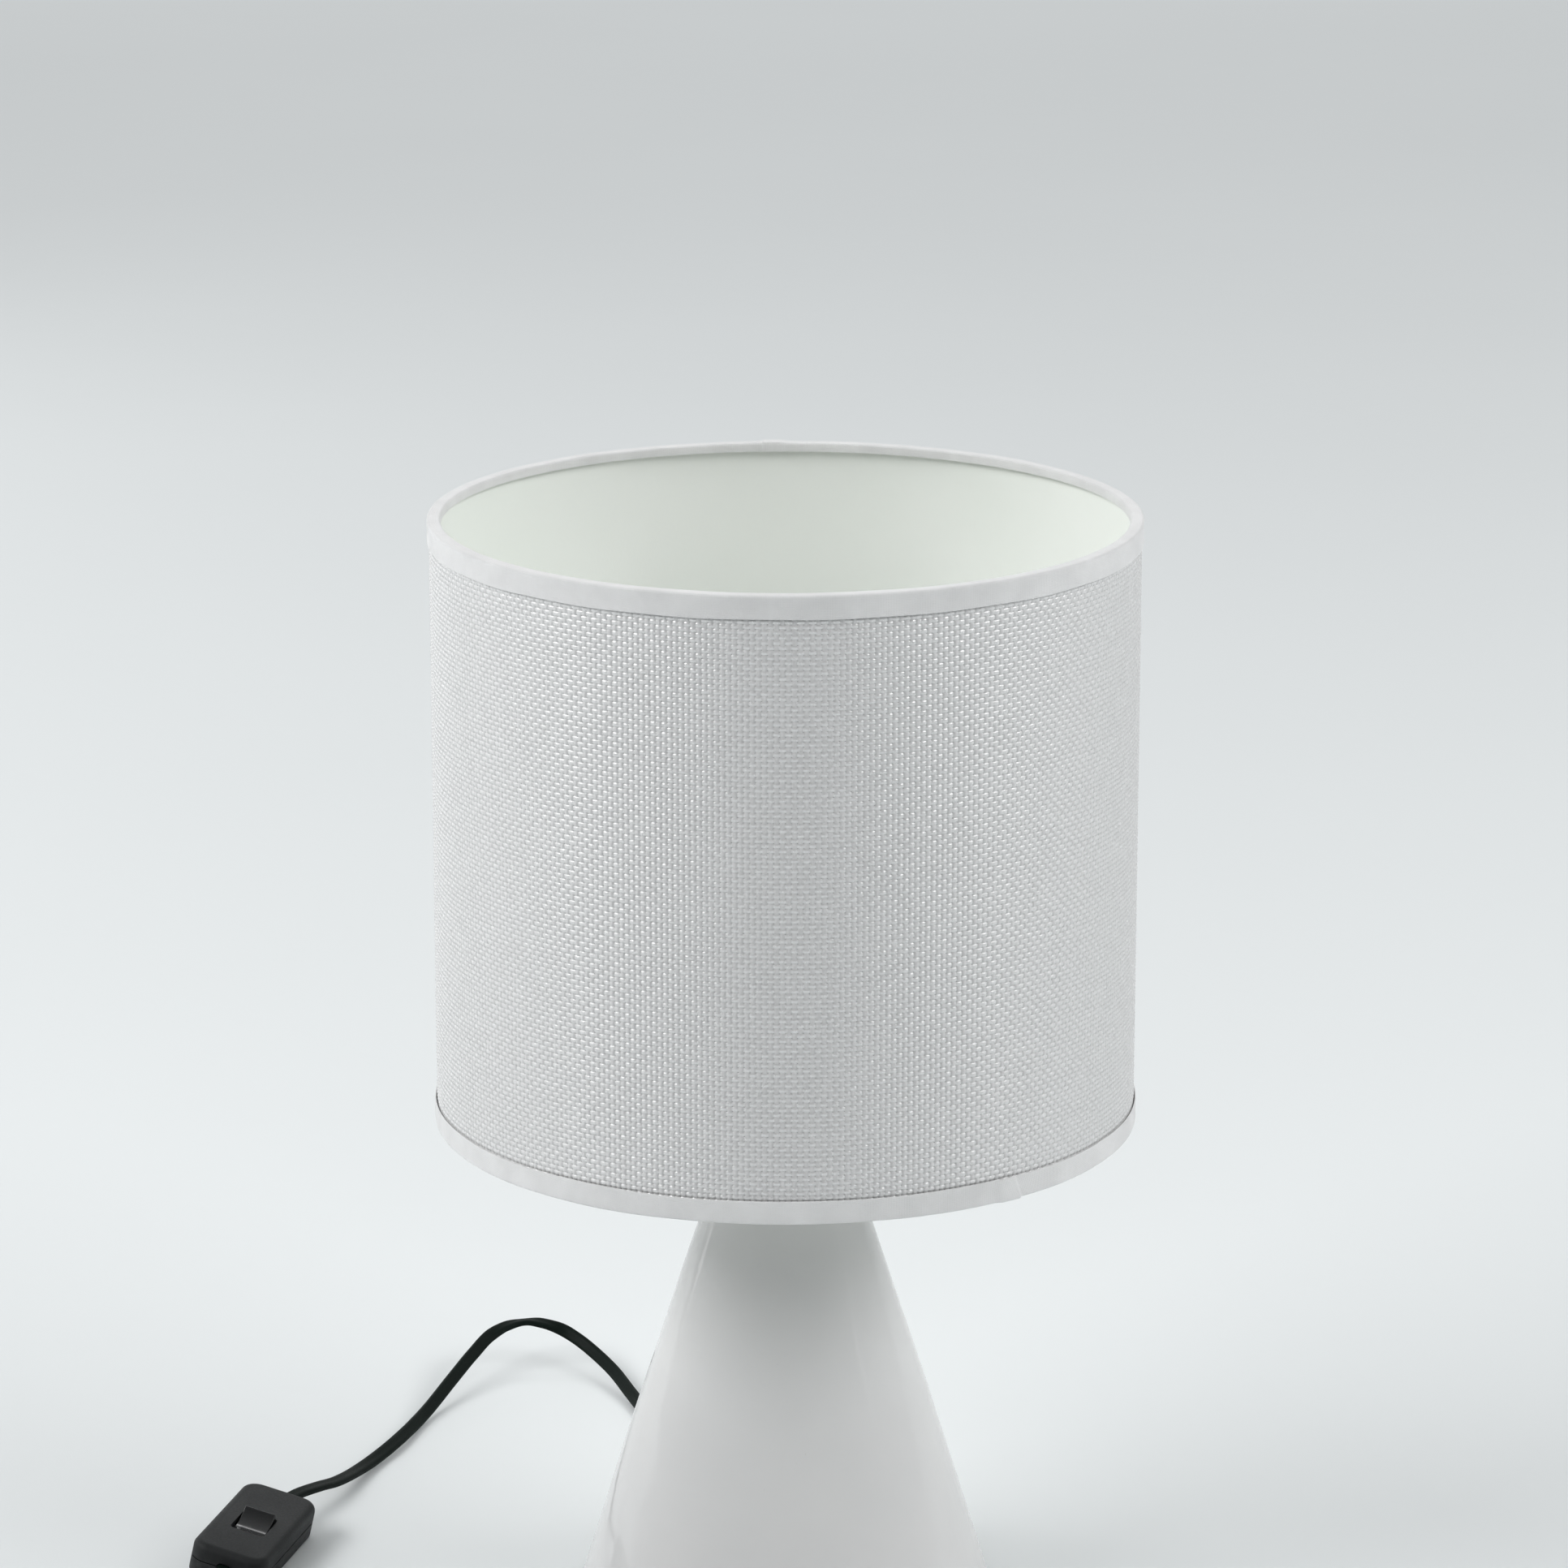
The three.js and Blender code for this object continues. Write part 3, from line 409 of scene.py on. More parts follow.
def glaze():
    """White glaze over stoneware: glossy, faintly uneven, thinner and greyer at its rims."""
    look = Look("ceramic_glaze", ior=1.5, specular_ior_level=0.5)
    height = look.height()
    foot = look.spread(height, 0.0022, 0.0045, 1, 0)
    rim = look.spread(height, 0.1745, 0.1768)
    thin = look.math("MULTIPLY", look.math("ADD", foot, rim, True),
                     look.spread(look.noise(260, 3), 0.3, 0.6))
    blotch = look.spread(look.noise(16, 3), 0.35, 0.65)
    body = look.mixed(blotch, grey(0.655, 0.0), grey(0.68, 0.004))
    specks = look.spread(look.cells(260), 0.035, 0.05, 0.5, 0)
    rare = look.math("MULTIPLY", specks, look.spread(look.noise(90, 1), 0.62, 0.66))
    body = look.mixed(thin, body, grey(0.52, 0.03))
    look.set("base color", look.mixed(rare, body, grey(0.33, 0.1)))
    look.set("roughness", look.spread(look.noise(70, 4), 0.3, 0.7, 0.055, 0.1))
    peel = look.bump(look.noise(210, 2), 0.05)
    look.set("normal", look.bump(look.noise(28, 2), 0.5, 1.0, peel))
    return look.material


def bare_clay():
    look = Look("bare_clay", specular_ior_level=0.3)
    grit = look.noise(1500, 4)
    look.set("base color", look.mixed(look.spread(look.noise(200, 3), 0.3, 0.7), grey(0.5, 0.06),
                                      grey(0.6, 0.05)))
    look.set("roughness", look.spread(grit, 0.3, 0.7, 0.75, 0.95))
    look.set("normal", look.bump(grit, 0.08))
    return look.material


def felt():
    look = Look("felt", specular_ior_level=0.1, sheen_weight=0.5, sheen_roughness=0.6)
    fibres = look.noise(2600, 5, 0.7)
    look.set("base color", look.mixed(look.spread(fibres, 0.3, 0.7), grey(0.012), grey(0.05)))
    look.set("roughness", look.spread(fibres, 0.3, 0.7, 0.88, 1.0))
    look.set("normal", look.bump(fibres, 0.25))
    return look.material


def plain_weave(look, warp_share, weft_share, wave):
    """Height, hole mask and weft mask of a plain weave.

    The UV map counts threads: u is a whole number on each warp thread, v on each weft thread,
    and the weft passes over where their sum is even."""
    uv = look.node("ShaderNodeUVMap", uv_map="weave").outputs[0]
    split = look.node("ShaderNodeSeparateXYZ", {0: uv})
    drift = look.math("MULTIPLY", look.math("SUBTRACT", look.noise(330, 2), 0.5), 0.16)
    u = look.math("ADD", split.outputs[0], drift)
    v = look.math("ADD", split.outputs[1], drift)
    whole_u, whole_v = (look.math("ROUND", axis) for axis in (u, v))

    def crest(axis, whole, share):
        away = look.math("DIVIDE", look.math("SUBTRACT", axis, whole), share)
        left = look.math("SUBTRACT", 1.0, look.math("MULTIPLY", away, away), True)
        return look.math("SQRT", left)

    def swing(along, across):
        turns = look.math("COSINE", look.math("MULTIPLY", along, math.pi))
        return look.math("MULTIPLY", turns, look.math("COSINE", look.math("MULTIPLY", across, math.pi)))

    weft_crest, warp_crest = crest(v, whole_v, weft_share), crest(u, whole_u, warp_share)
    weft = look.math("ADD", weft_crest, look.math("MULTIPLY", swing(u, whole_v), wave))
    warp = look.math("SUBTRACT", warp_crest, look.math("MULTIPLY", swing(v, whole_u), wave))
    thread = look.math("MAXIMUM", weft_crest, warp_crest)
    hole = look.spread(thread, 0.0, 0.35, 1, 0)
    height = look.math("MAXIMUM", look.math("MULTIPLY", weft, look.math("GREATER_THAN", weft_crest, 0.02)),
                       look.math("MULTIPLY", warp, look.math("GREATER_THAN", warp_crest, 0.02)))
    on_top = look.math("GREATER_THAN", look.math("SUBTRACT", weft, warp), 0.0)
    return height, hole, on_top, (look.math("SUBTRACT", u, whole_u), look.math("SUBTRACT", v, whole_v))


def thread_normal(look, away, weft_on_top, hole):
    """The side-to-side lean of round threads that also dip under each other, as a normal's colour."""
    roundness, dip = 1.35, 0.2
    flank = [look.math("MULTIPLY", axis, roundness) for axis in away]
    dive = [look.math("MULTIPLY", look.math("SINE", look.math("MULTIPLY", axis, math.pi)), dip)
            for axis in away]
    whole = look.math("SUBTRACT", 1.0, hole)
    parts = []
    for on_weft, on_warp in ((dive[0], flank[0]), (flank[1], dive[1])):
        gap = look.math("SUBTRACT", on_weft, on_warp)
        lean = look.math("ADD", on_warp, look.math("MULTIPLY", gap, weft_on_top))
        lean = look.math("MULTIPLY", lean, whole)
        parts.append(look.math("ADD", look.math("MULTIPLY", lean, 0.5), 0.5))
    return look.node("ShaderNodeCombineXYZ", {0: parts[0], 1: parts[1], 2: 0.93}).outputs[0]


WARP_DARK, WARP_LIGHT = grey(0.58, 0.0), grey(0.64, 0.0)
WEFT = grey(0.72, 0.0)
# Painted shade: the grey of the gaps between threads, where the lining behind lies in shadow.
WEAVE_GAP_SHADE = grey(0.32, 0.0)


def shade_weave():
    """Open plain weave of smooth white yarn; the gaps between threads are painted grey as shade."""
    look = Look("shade_weave", ior=1.9, specular_ior_level=1.0)
    _, hole, weft_on_top, away = plain_weave(look, 0.4, 0.42, 0.45)
    warp = look.mixed(look.spread(look.noise(170, 3), 0.3, 0.7), WARP_DARK, WARP_LIGHT)
    yarn = look.mixed(weft_on_top, warp, WEFT)
    # The gaps get the painted shade grey.
    look.set("base color", look.mixed(hole, yarn, WEAVE_GAP_SHADE))
    shine = look.spread(look.noise(420, 2), 0.3, 0.7, 0.2, 0.3)
    dull = look.math("SUBTRACT", 0.45, look.math("MULTIPLY", weft_on_top, 0.45))
    dull = look.math("MAXIMUM", dull, look.math("MULTIPLY", hole, 0.6))
    look.set("roughness", look.math("ADD", shine, dull, True))
    fibres = look.noise(3200, 2, stretch=(0.4, 0.4, 2.5))
    yarn_normal = look.node("ShaderNodeNormalMap", {
        "Color": thread_normal(look, away, weft_on_top, hole)}, uv_map="weave").outputs[0]
    look.set("normal", look.bump(fibres, 0.015, 0.6, yarn_normal))
    return look.material


def edge_tape_cloth():
    """Fine ribbed cotton tape, its thread gaps painted darker as shade."""
    look = Look("edge_tape", specular_ior_level=0.35, sheen_weight=0.2, sheen_roughness=0.5)
    height, hole, _, _ = plain_weave(look, 0.46, 0.48, 0.5)
    base = look.mixed(look.spread(look.noise(90, 3), 0.3, 0.7), grey(0.70), grey(0.77))
    # Painted shade: the gaps between threads are darkened towards grey.
    look.set("base color", look.mixed(look.math("MULTIPLY", hole, 0.4), base, grey(0.5)))
    look.set("roughness", look.spread(look.noise(300, 3), 0.3, 0.7, 0.55, 0.75))
    look.set("normal", look.bump(look.noise(60, 3), 0.25, 1.0, look.bump(height, 0.07, 0.8)))
    return look.material


def lining_film():
    """Cream-white lining: smooth, with the faintest texture of pressed fibres."""
    look = Look("shade_lining", specular_ior_level=0.35)
    fibres = look.noise(1400, 4, stretch=(1, 1, 0.4))
    blotch = look.noise(14, 3)
    look.set("base color", look.mixed(look.spread(blotch, 0.3, 0.7), (0.845, 0.875, 0.83, 1),
                                      (0.87, 0.89, 0.855, 1)))
    look.set("roughness", look.spread(fibres, 0.3, 0.7, 0.5, 0.66))
    look.set("normal", look.bump(blotch, 0.5, 1.0, look.bump(fibres, 0.02)))
    return look.material


def opal_glass():
    look = Look("bulb_diffuser", subsurface_weight=0.25, subsurface_scale=0.004)
    frost = look.noise(900, 3)
    look.set("base color", look.mixed(look.spread(look.noise(30, 2), 0.3, 0.7), (0.8, 0.8, 0.77, 1),
                                      (0.86, 0.86, 0.84, 1)))
    look.set("roughness", look.spread(frost, 0.3, 0.7, 0.28, 0.4))
    look.set("normal", look.bump(frost, 0.01))
    return look.material


def cord_sheath():
    look = Look("cord_pvc", specular_ior_level=0.08)
    fine, broad = look.noise(1800, 3), look.noise(60, 3)
    look.set("base color", look.mixed(look.spread(broad, 0.3, 0.7), (0.0028, 0.0062, 0.0045, 1),
                                      (0.005, 0.0095, 0.0075, 1)))
    look.set("roughness", look.spread(look.math("ADD", fine, broad), 0.7, 1.3, 0.42, 0.6))
    look.set("normal", look.bump(broad, 0.12, 1.0, look.bump(fine, 0.015)))
    return look.material


class Finishes:
    """Every material, made once."""

    def __init__(self):
        self.glaze = glaze()
        self.clay = bare_clay()
        self.felt = felt()
        self.weave = shade_weave()
        self.tape = edge_tape_cloth()
        self.lining = lining_film()
        self.opal = opal_glass()
        self.cord = cord_sheath()
        self.black = moulded("black_plastic", (0.014, 0.0155, 0.016, 1), (0.035, 0.037, 0.038, 1),
                             (0.5, 0.66), 1500, 0.03, specular_ior_level=0.2)
        self.rubber = moulded("black_rubber", (0.018, 0.019, 0.019, 1), (0.04, 0.041, 0.041, 1),
                              (0.5, 0.68), 1200, 0.03, specular_ior_level=0.2)
        self.gloss = moulded("rocker_gloss", (0.008, 0.0085, 0.009, 1), (0.03, 0.03, 0.031, 1),
                             (0.12, 0.22), 700, 0.004, specular_ior_level=0.6)
        self.tie = moulded("tie_plastic", (0.02, 0.02, 0.021, 1), (0.06, 0.06, 0.062, 1),
                           (0.35, 0.55), 1100, 0.03)
        self.white = moulded("holder_plastic", (0.76, 0.76, 0.73, 1), (0.86, 0.86, 0.84, 1),
                             (0.34, 0.48), 1300, 0.02)
        self.paint = moulded("white_paint", (0.72, 0.72, 0.7, 1), (0.6, 0.6, 0.59, 1),
                             (0.3, 0.46), 900, 0.03)
        self.steel = metal("zinc_steel", (0.52, 0.53, 0.55, 1), (0.38, 0.39, 0.42, 1), (0.28, 0.46))
        self.brass = metal("brass", (0.72, 0.52, 0.2, 1), (0.45, 0.31, 0.13, 1), (0.22, 0.42))
        self.nickel = metal("nickel", (0.66, 0.65, 0.61, 1), (0.5, 0.48, 0.44, 1), (0.16, 0.3))


# ---------- Places that pieces share ----------

def exit_point(distance, z):
    """A point at a distance from the lamp's axis in the lead's exit direction."""
    return (-math.sin(EXIT_TURN) * distance, math.cos(EXIT_TURN) * distance, z)


# Takes a piece turned about +Z to lie along the exit direction, starting at the lamp's axis.
ALONG_EXIT = (Matrix.Translation((0, 0, EXIT_HEIGHT)) @ Matrix.Rotation(EXIT_TURN, 4, "Z")
              @ Matrix.Rotation(-math.pi / 2, 4, "X"))

RELIEF_FLANGE = 7.0
RELIEF_START = cone_radius(EXIT_HEIGHT - RELIEF_FLANGE) + GAP
RELIEF_END = RELIEF_START + 25
RELIEF_INNER_END = 56.0
RELIEF_SHANK = 4.4

SWITCH_CENTRE = (-189.9, 23.85, 2.9)
SWITCH_TURN = math.atan2(-0.9687, -0.2482)
SWITCH_ROLL = math.radians(13)          # the stiff lead holds its left edge off the table
SWITCH_LENGTH, SWITCH_WIDTH, SWITCH_HEIGHT = 62.0, 28.0, 13.0
SWITCH_ENTRY = 6.5
SWITCH = (Matrix.Translation(SWITCH_CENTRE) @ Matrix.Rotation(SWITCH_TURN, 4, "Z")
          @ Matrix.Rotation(-SWITCH_ROLL, 4, "X"))


def switch_axis(share, extra=0.0):
    """A point on the switch's long axis, from -1 at the lamp's lead to +1 at the plug's lead."""
    return tuple(SWITCH @ Vector((share * (SWITCH_LENGTH / 2 + extra), 0, SWITCH_ENTRY)))


COIL_CENTRE = (-172.0, -64.0)
PLUG_AXIS = 6.9
PLUG_RELIEF_START = -121.0
PLUG_Y = COIL_CENTRE[1] - 31.6

# ---------- Leads ----------

LAMP_TO_SWITCH = [
    exit_point(RELIEF_END - 1.5, EXIT_HEIGHT), exit_point(RELIEF_END + 5, EXIT_HEIGHT - 0.3),
    (-34.6, 109, 8.6), (-40.3, 127, 4), (-45.6, 144, 1.7), (-51.6, 163.4, 1.9), (-58.8, 184.5, 3.2),
    (-67, 204.8, 5.8), (-80, 223, 10.6), (-87.8, 228, 13.4), (-97.1, 229.2, 15.3),
    (-105.9, 226.4, 15.2), (-112.8, 220.1, 13.6), (-119.5, 206.5, 10.5), (-126.4, 189.6, 6.8),
    (-135.6, 163, 2.9), (-145, 132.6, 2.8), (-154.6, 109, 2.8), (-163.2, 87.6, 5.2),
    (-169.2, 76.3, 7.5), (-175.8, 65.4, 9), switch_axis(-1, 4), switch_axis(-1, -2.5),
]
# How far the lead is turned about its own line, in degrees, by the share of its length: its wide
# face leans outwards on both flanks of the arch, and follows the switch's roll.
ARCH_TWIST = ((0, 0), (0.2, 0), (0.28, 30), (0.335, 42), (0.4, 54), (0.438, 16), (0.457, -8),
              (0.478, 12), (0.508, 40), (0.55, 54), (0.68, 52), (0.775, 30), (0.865, 14), (0.93, 13),
              (1, 13))
SWITCH_TO_COIL = [
    switch_axis(1, -2.5), switch_axis(1, 5), (-201.6, -22.5, 7.2), (-203, -32.5, 4.3),
    (-203.8, -40.5, 3.3), (-203.9, -47.3, 3.2),
]
COIL_TO_PLUG = [
    (-153.4, PLUG_Y - 1.2, 8.1), (-146, PLUG_Y - 0.6, 7.2), (-137, PLUG_Y - 0.2, 6.3),
    (-128, PLUG_Y, 6.5), (PLUG_RELIEF_START + 1.5, PLUG_Y, PLUG_AXIS),
]

COIL_TURNS = 7.25
COIL_RISE = (3.4, 3.57)       # the turns between which the lead climbs to the upper layer
COIL_POINTS = 24              # per turn
COIL_PITCH = 2.42
COIL_START_RADIUS = 31.6
COIL_LOW, COIL_HIGH = 3.5, 8.45


def coil_points():
    """The coil's line: in along the table, up one layer, and out on top. The lead stands on edge."""
    inner = COIL_START_RADIUS - COIL_PITCH * COIL_RISE[1]
    over = COIL_RISE[0] + 1   # the turn where the upper layer has cleared the climb
    over_radius = COIL_START_RADIUS - COIL_PITCH * COIL_RISE[0] + COIL_PITCH
    out = []
    for k in range(int(COIL_TURNS * COIL_POINTS) + 1):
        turn = k / COIL_POINTS
        if turn <= COIL_RISE[1]:
            radius = COIL_START_RADIUS - COIL_PITCH * turn
        elif turn <= over:
            radius = inner + (over_radius - inner) * float(smoothstep(turn, COIL_RISE[1], over))
        else:
            radius = over_radius + COIL_PITCH * (turn - over)
        angle = math.pi + turn * TAU
        z = COIL_LOW + (COIL_HIGH - COIL_LOW) * float(smoothstep(turn, *COIL_RISE))
        out.append((COIL_CENTRE[0] + radius * math.cos(angle),
                    COIL_CENTRE[1] + radius * math.sin(angle), z))
    return out


def smooth_route(points, step):
    """Points a step apart on the centripetal Catmull-Rom curve through the given ones."""
    given = np.array(points, float)
    given = np.vstack([2 * given[0] - given[1], given, 2 * given[-1] - given[-2]])
    line = []
    for p0, p1, p2, p3 in zip(given, given[1:], given[2:], given[3:]):
        t1 = math.sqrt(np.linalg.norm(p1 - p0))
        t2 = t1 + math.sqrt(np.linalg.norm(p2 - p1))
        t3 = t2 + math.sqrt(np.linalg.norm(p3 - p2))
        t = np.linspace(t1, t2, 16, endpoint=False)[:, None]
        a1 = (t1 - t) / t1 * p0 + t / t1 * p1
        a2 = (t2 - t) / (t2 - t1) * p1 + (t - t1) / (t2 - t1) * p2
        a3 = (t3 - t) / (t3 - t2) * p2 + (t - t2) / (t3 - t2) * p3
        b1 = (t2 - t) / t2 * a1 + t / t2 * a2
        b2 = (t3 - t) / (t3 - t1) * a2 + (t - t1) / (t3 - t1) * a3
        line.append((t2 - t) / (t2 - t1) * b1 + (t - t1) / (t2 - t1) * b2)
    line = np.vstack([*line, given[-2:-1]])
    along = np.concatenate([[0], np.cumsum(np.linalg.norm(np.diff(line, axis=0), axis=1))])
    places = np.linspace(0, along[-1], max(2, round(along[-1] / step)) + 1)
    return np.stack([np.interp(places, along, line[:, k]) for k in range(3)], axis=1), places


def read_table(table, shares):
    """Values of a table at some shares, easing from each entry to the next."""
    places, values = (np.array(column, float) for column in zip(*table))
    after = np.clip(np.searchsorted(places, shares), 1, len(places) - 1)
    start, end = places[after - 1], places[after]
    eased = np.clip((shares - start) / (end - start), 0, 1)
    eased = eased * eased * (3 - 2 * eased)
    return values[after - 1] + (values[after] - values[after - 1]) * eased


def lead_section():
    """The flat twin lead's outline, across and up: two cores with a groove between them."""
    out = []
    for k in range(28):
        angle = (k + 0.5) / 28 * TAU
        side = math.cos(angle)
        across = CORD_WIDTH / 2 * math.copysign(abs(side) ** 0.72, side)
        up = math.sin(angle)
        up = CORD_THICKNESS / 2 * math.copysign(abs(up) ** 0.55, up)
        groove = 0.34 * math.exp(-(across / 0.5) ** 2)
        out.append((across, up - math.copysign(groove, up)))
    return out


def sweep(line, section, twists=None):
    """Rings of a section along a line, its flat side level, turned by a twist about the line."""
    tangents = np.gradient(line, axis=0)
    tangents /= np.linalg.norm(tangents, axis=1)[:, None]
    rings = []
    for k, (point, tangent) in enumerate(zip(line, tangents)):
        across = np.cross(tangent, (0, 0, 1))
        across /= np.linalg.norm(across)
        up = np.cross(across, tangent)
        twist = 0 if twists is None else twists[k]
        wide = across * math.cos(twist) + up * math.sin(twist)
        thin = up * math.cos(twist) - across * math.sin(twist)
        rings.append([point + wide * x + thin * y for x, y in section])
    return rings


def add_lead(name, line, twists, material, nodes):
    vertices, faces = loft(sweep(line, lead_section(), twists))
    return fit_out(add_mesh(name, vertices, faces, sharp=60), material, "lamp", nodes)


def leads(finishes):
    """The two free stretches of the lead."""
    line, along = smooth_route(LAMP_TO_SWITCH, 1.2)
    twists = np.radians(read_table(ARCH_TWIST, along / along[-1]))
    first = add_lead("lead_lamp_to_switch", line, twists, finishes.cord, ["cord_lamp_to_switch"])
    first_line = line

    coil = coil_points()
    line, along = smooth_route(SWITCH_TO_COIL + coil + COIL_TO_PLUG, 1.4)
    total = along[-1]
    on_edge = smoothstep(along, 12, 56) * (1 - smoothstep(along, total - 48, total - 6))
    twists = SWITCH_ROLL + on_edge * (math.pi / 2 - SWITCH_ROLL)
    twists *= 1 - smoothstep(along, total - 48, total - 6) * (1 - on_edge)
    second = add_lead("lead_switch_to_plug", line, twists, finishes.cord,
                      ["cord_switch_to_coil", "cord_coil", "cord_coil_to_plug"])
    return first, first_line, second, line


def inner_lead(finishes):
    """The lead's hidden run inside the cone, from the strain relief up to the terminals."""
    route = [exit_point(RELIEF_INNER_END - GAP, EXIT_HEIGHT), exit_point(40, EXIT_HEIGHT + 1),
             exit_point(18, 28), exit_point(5, 62), exit_point(0, 112), exit_point(0, 150),
             exit_point(0, HOLDER + 7)]
    line, _ = smooth_route(route, 2)
    tangents = np.gradient(line, axis=0)
    tangents /= np.linalg.norm(tangents, axis=1)[:, None]
    side = np.array((math.cos(EXIT_TURN), math.sin(EXIT_TURN), 0))
    rings = [[point + side * x + np.cross(tangent, side) * y for x, y in lead_section()]
             for point, tangent in zip(line, tangents)]
    piece = add_mesh("inner_lead", *loft(rings), sharp=60)
    fit_out(piece, finishes.cord, "lamp", "inner_cord")


def lead_tie(finishes):
    """A flat strap wound round the coil once and a bit more, its end lying on itself."""
    strap, width = 0.6, 5.0
    direction = math.radians(200)
    inner, outer, low, high = 22.0, 33.2, 1.0, 11.2
    middle = (inner + outer) / 2
    clear = GAP + strap / 2
    loop = rounded_rectangle(outer - inner + 2 * clear, high - low + 2 * clear, 2.3, 6)
    loop = np.array(loop + loop[:1])
    along = np.concatenate([[0], np.cumsum(np.linalg.norm(np.diff(loop, axis=0), axis=1))])
    total = along[-1]
    rings = []
    overlap = 13.0
    for s in np.arange(0, total + overlap, 0.5):
        x = float(np.interp(s % total, along, loop[:, 0]))
        z = float(np.interp(s % total, along, loop[:, 1]))
        ahead = (s + 0.3) % total
        dx = float(np.interp(ahead, along, loop[:, 0])) - x
        dz = float(np.interp(ahead, along, loop[:, 1])) - z
        size = math.hypot(dx, dz) or 1
        nx, nz = dz / size, -dx / size
        lift = (strap + 0.05) * float(smoothstep(s, total - 4, total))
        tip = max(0.0, s - (total + overlap - width / 2)) / (width / 2)
        half = width / 2 * math.sqrt(max(0.04, 1 - tip * tip))
        ring = []
        for across, up in rounded([(-half, -strap / 2, 0.2), (half, -strap / 2, 0.2),
                                   (half, strap / 2, 0.2), (-half, strap / 2, 0.2)], True, 2):
            ring.append((x + nx * (lift + up), across, z + nz * (lift + up)))
        rings.append(ring)
    place = (Matrix.Translation((COIL_CENTRE[0], COIL_CENTRE[1], (low + high) / 2))
             @ Matrix.Rotation(direction, 4, "Z") @ Matrix.Translation((middle, 0, 0)))
    vertices, faces = loft(rings)
    piece = add_mesh("lead_tie", moved(vertices, place), faces, 40)
    fit_out(piece, finishes.tie, "lamp", "coil_tie")


# ---------- Ceramic body and the lead's exit ----------

def ceramic_body(finishes):
    heights = np.linspace(CONE_FOOT + 2.4, CONE_TOP - 2.6, 44)
    outside = [(cone_radius(z), z) for z in heights]
    roof = CONE_TOP - CONE_ROOF
    inside = [(cone_radius(z) - CONE_WALL, z) for z in np.linspace(roof - 3, CONE_FOOT, 12)]
    foot = cone_radius(CONE_FOOT)
    bore = NIPPLE_RADIUS + 0.6
    top = cone_radius(CONE_TOP)
    profile = [(foot - CONE_WALL, CONE_FOOT), (foot - 1.9, CONE_FOOT, 0.6),
               (cone_radius(CONE_FOOT + 1.6), CONE_FOOT + 1.6, 1.6), *outside,
               (top, CONE_TOP, 2.2), (bore, CONE_TOP, 0.5), (bore, roof), (8, roof), *inside]

    def hand_made(angles, radius, height):
        """The faint unevenness of a cast and glazed cone, none at its bore."""
        share = 0.0 if radius < 9 else min(1.0, (CONE_TOP - height) / 60)
        return share * (ripple(angles, 5, (2, 3), 0.12) + ripple(angles + height / 70, 6, (5, 7), 0.05))

    piece = turned("ceramic_cone", profile, FINE, closed=True, relief=hand_made, sharp=50)
    hole = turned("hole", [(0, 45), (RELIEF_SHANK + 0.4, 45), (RELIEF_SHANK + 0.4, 90), (0, 90)],
                  SMALL, matrix=ALONG_EXIT)
    cut(piece, hole, sharp=50)
    fit_out(piece, finishes.glaze, "lamp", "ceramic_body")
    piece.data.materials.append(finishes.clay)
    for face in piece.data.polygons:
        reach = math.hypot(face.center.x, face.center.y) / MM
        height = face.center.z / MM
        unglazed = height < CONE_FOOT + 0.4 or reach < cone_radius(height) - CONE_WALL + 0.6
        if unglazed and height < roof + 1:
            face.material_index = 1

    pad = foot - 1.8
    frayed = lambda angles, radius, height: ripple(angles, 9, (31, 47, 83), 0.12) * (radius > pad - 1)
    piece = turned("foot_pad", [(0, 0), (pad, 0, 0.5), (pad, CONE_FOOT - GAP, 0.4), (0, CONE_FOOT - GAP)],
                   FINE, relief=frayed)
    fit_out(piece, finishes.felt, "lamp", "felt_pad")


def lead_exit(finishes):
    """The tapered boot that carries the lead out through the cone, and its nut inside."""
    start, end = RELIEF_START, RELIEF_END
    taper = [(RELIEF_FLANGE, start, 0.3), (RELIEF_FLANGE, start + 1.4, 0.6), (5.5, start + 2.0, 0.5)]
    grooves = 6
    first, last = start + 4, end - 3.4
    for k in range(grooves):
        middle = first + (last - first) * k / (grooves - 1)
        outer = 5.2 + (3.35 - 5.2) * (middle - start - 2.2) / (end - 1 - start - 2.2)
        taper += [(outer, middle - 1.0, 0.25), (outer - 0.65, middle - 0.55, 0.2),
                  (outer - 0.7, middle + 0.55, 0.2), (outer - 0.06, middle + 1.0, 0.25)]
    taper += [(3.3, end - 0.6, 0.4), (3.0, end, 0.3), (2.62, end, 0.15), (2.6, end - 2.4), (0, end - 2.4)]
    profile = [(0, RELIEF_INNER_END), (RELIEF_SHANK, RELIEF_INNER_END, 0.4), (RELIEF_SHANK, start), *taper]
    piece = turned("lead_boot", profile, SMALL, matrix=ALONG_EXIT)
    fit_out(piece, finishes.rubber, "lamp", "cord_strain_relief")
    nut = hex_nut("boot_nut", 14, RELIEF_SHANK + GAP, RELIEF_INNER_END + 1, RELIEF_INNER_END + 4,
                  ALONG_EXIT)
    fit_out(nut, finishes.white, "lamp", "relief_lock_nut")


def hex_nut(name, across_flats, bore, bottom, top, matrix=None):
    """A hexagonal nut with its corners turned down, as they are on a lathe."""
    flats = across_flats / 2
    corner = flats / math.cos(math.pi / 6)
    round_radius = (flats + corner) / 2 + 0.1

    def hexagon(angles, radius, height):
        if radius < flats - 0.6:
            return np.zeros_like(angles)
        side = flats / np.cos((angles + math.pi / 6) % (math.pi / 3) - math.pi / 6)
        return np.minimum(side, radius) - radius

    profile = [(bore, bottom), (round_radius - 1.2, bottom), (corner, bottom + 0.9),
               (corner, top - 0.9), (round_radius - 1.2, top), (bore, top)]
    return turned(name, profile, ROUND, closed=True, relief=hexagon, matrix=matrix, sharp=25)


# ---------- Neck and lamp holder ----------

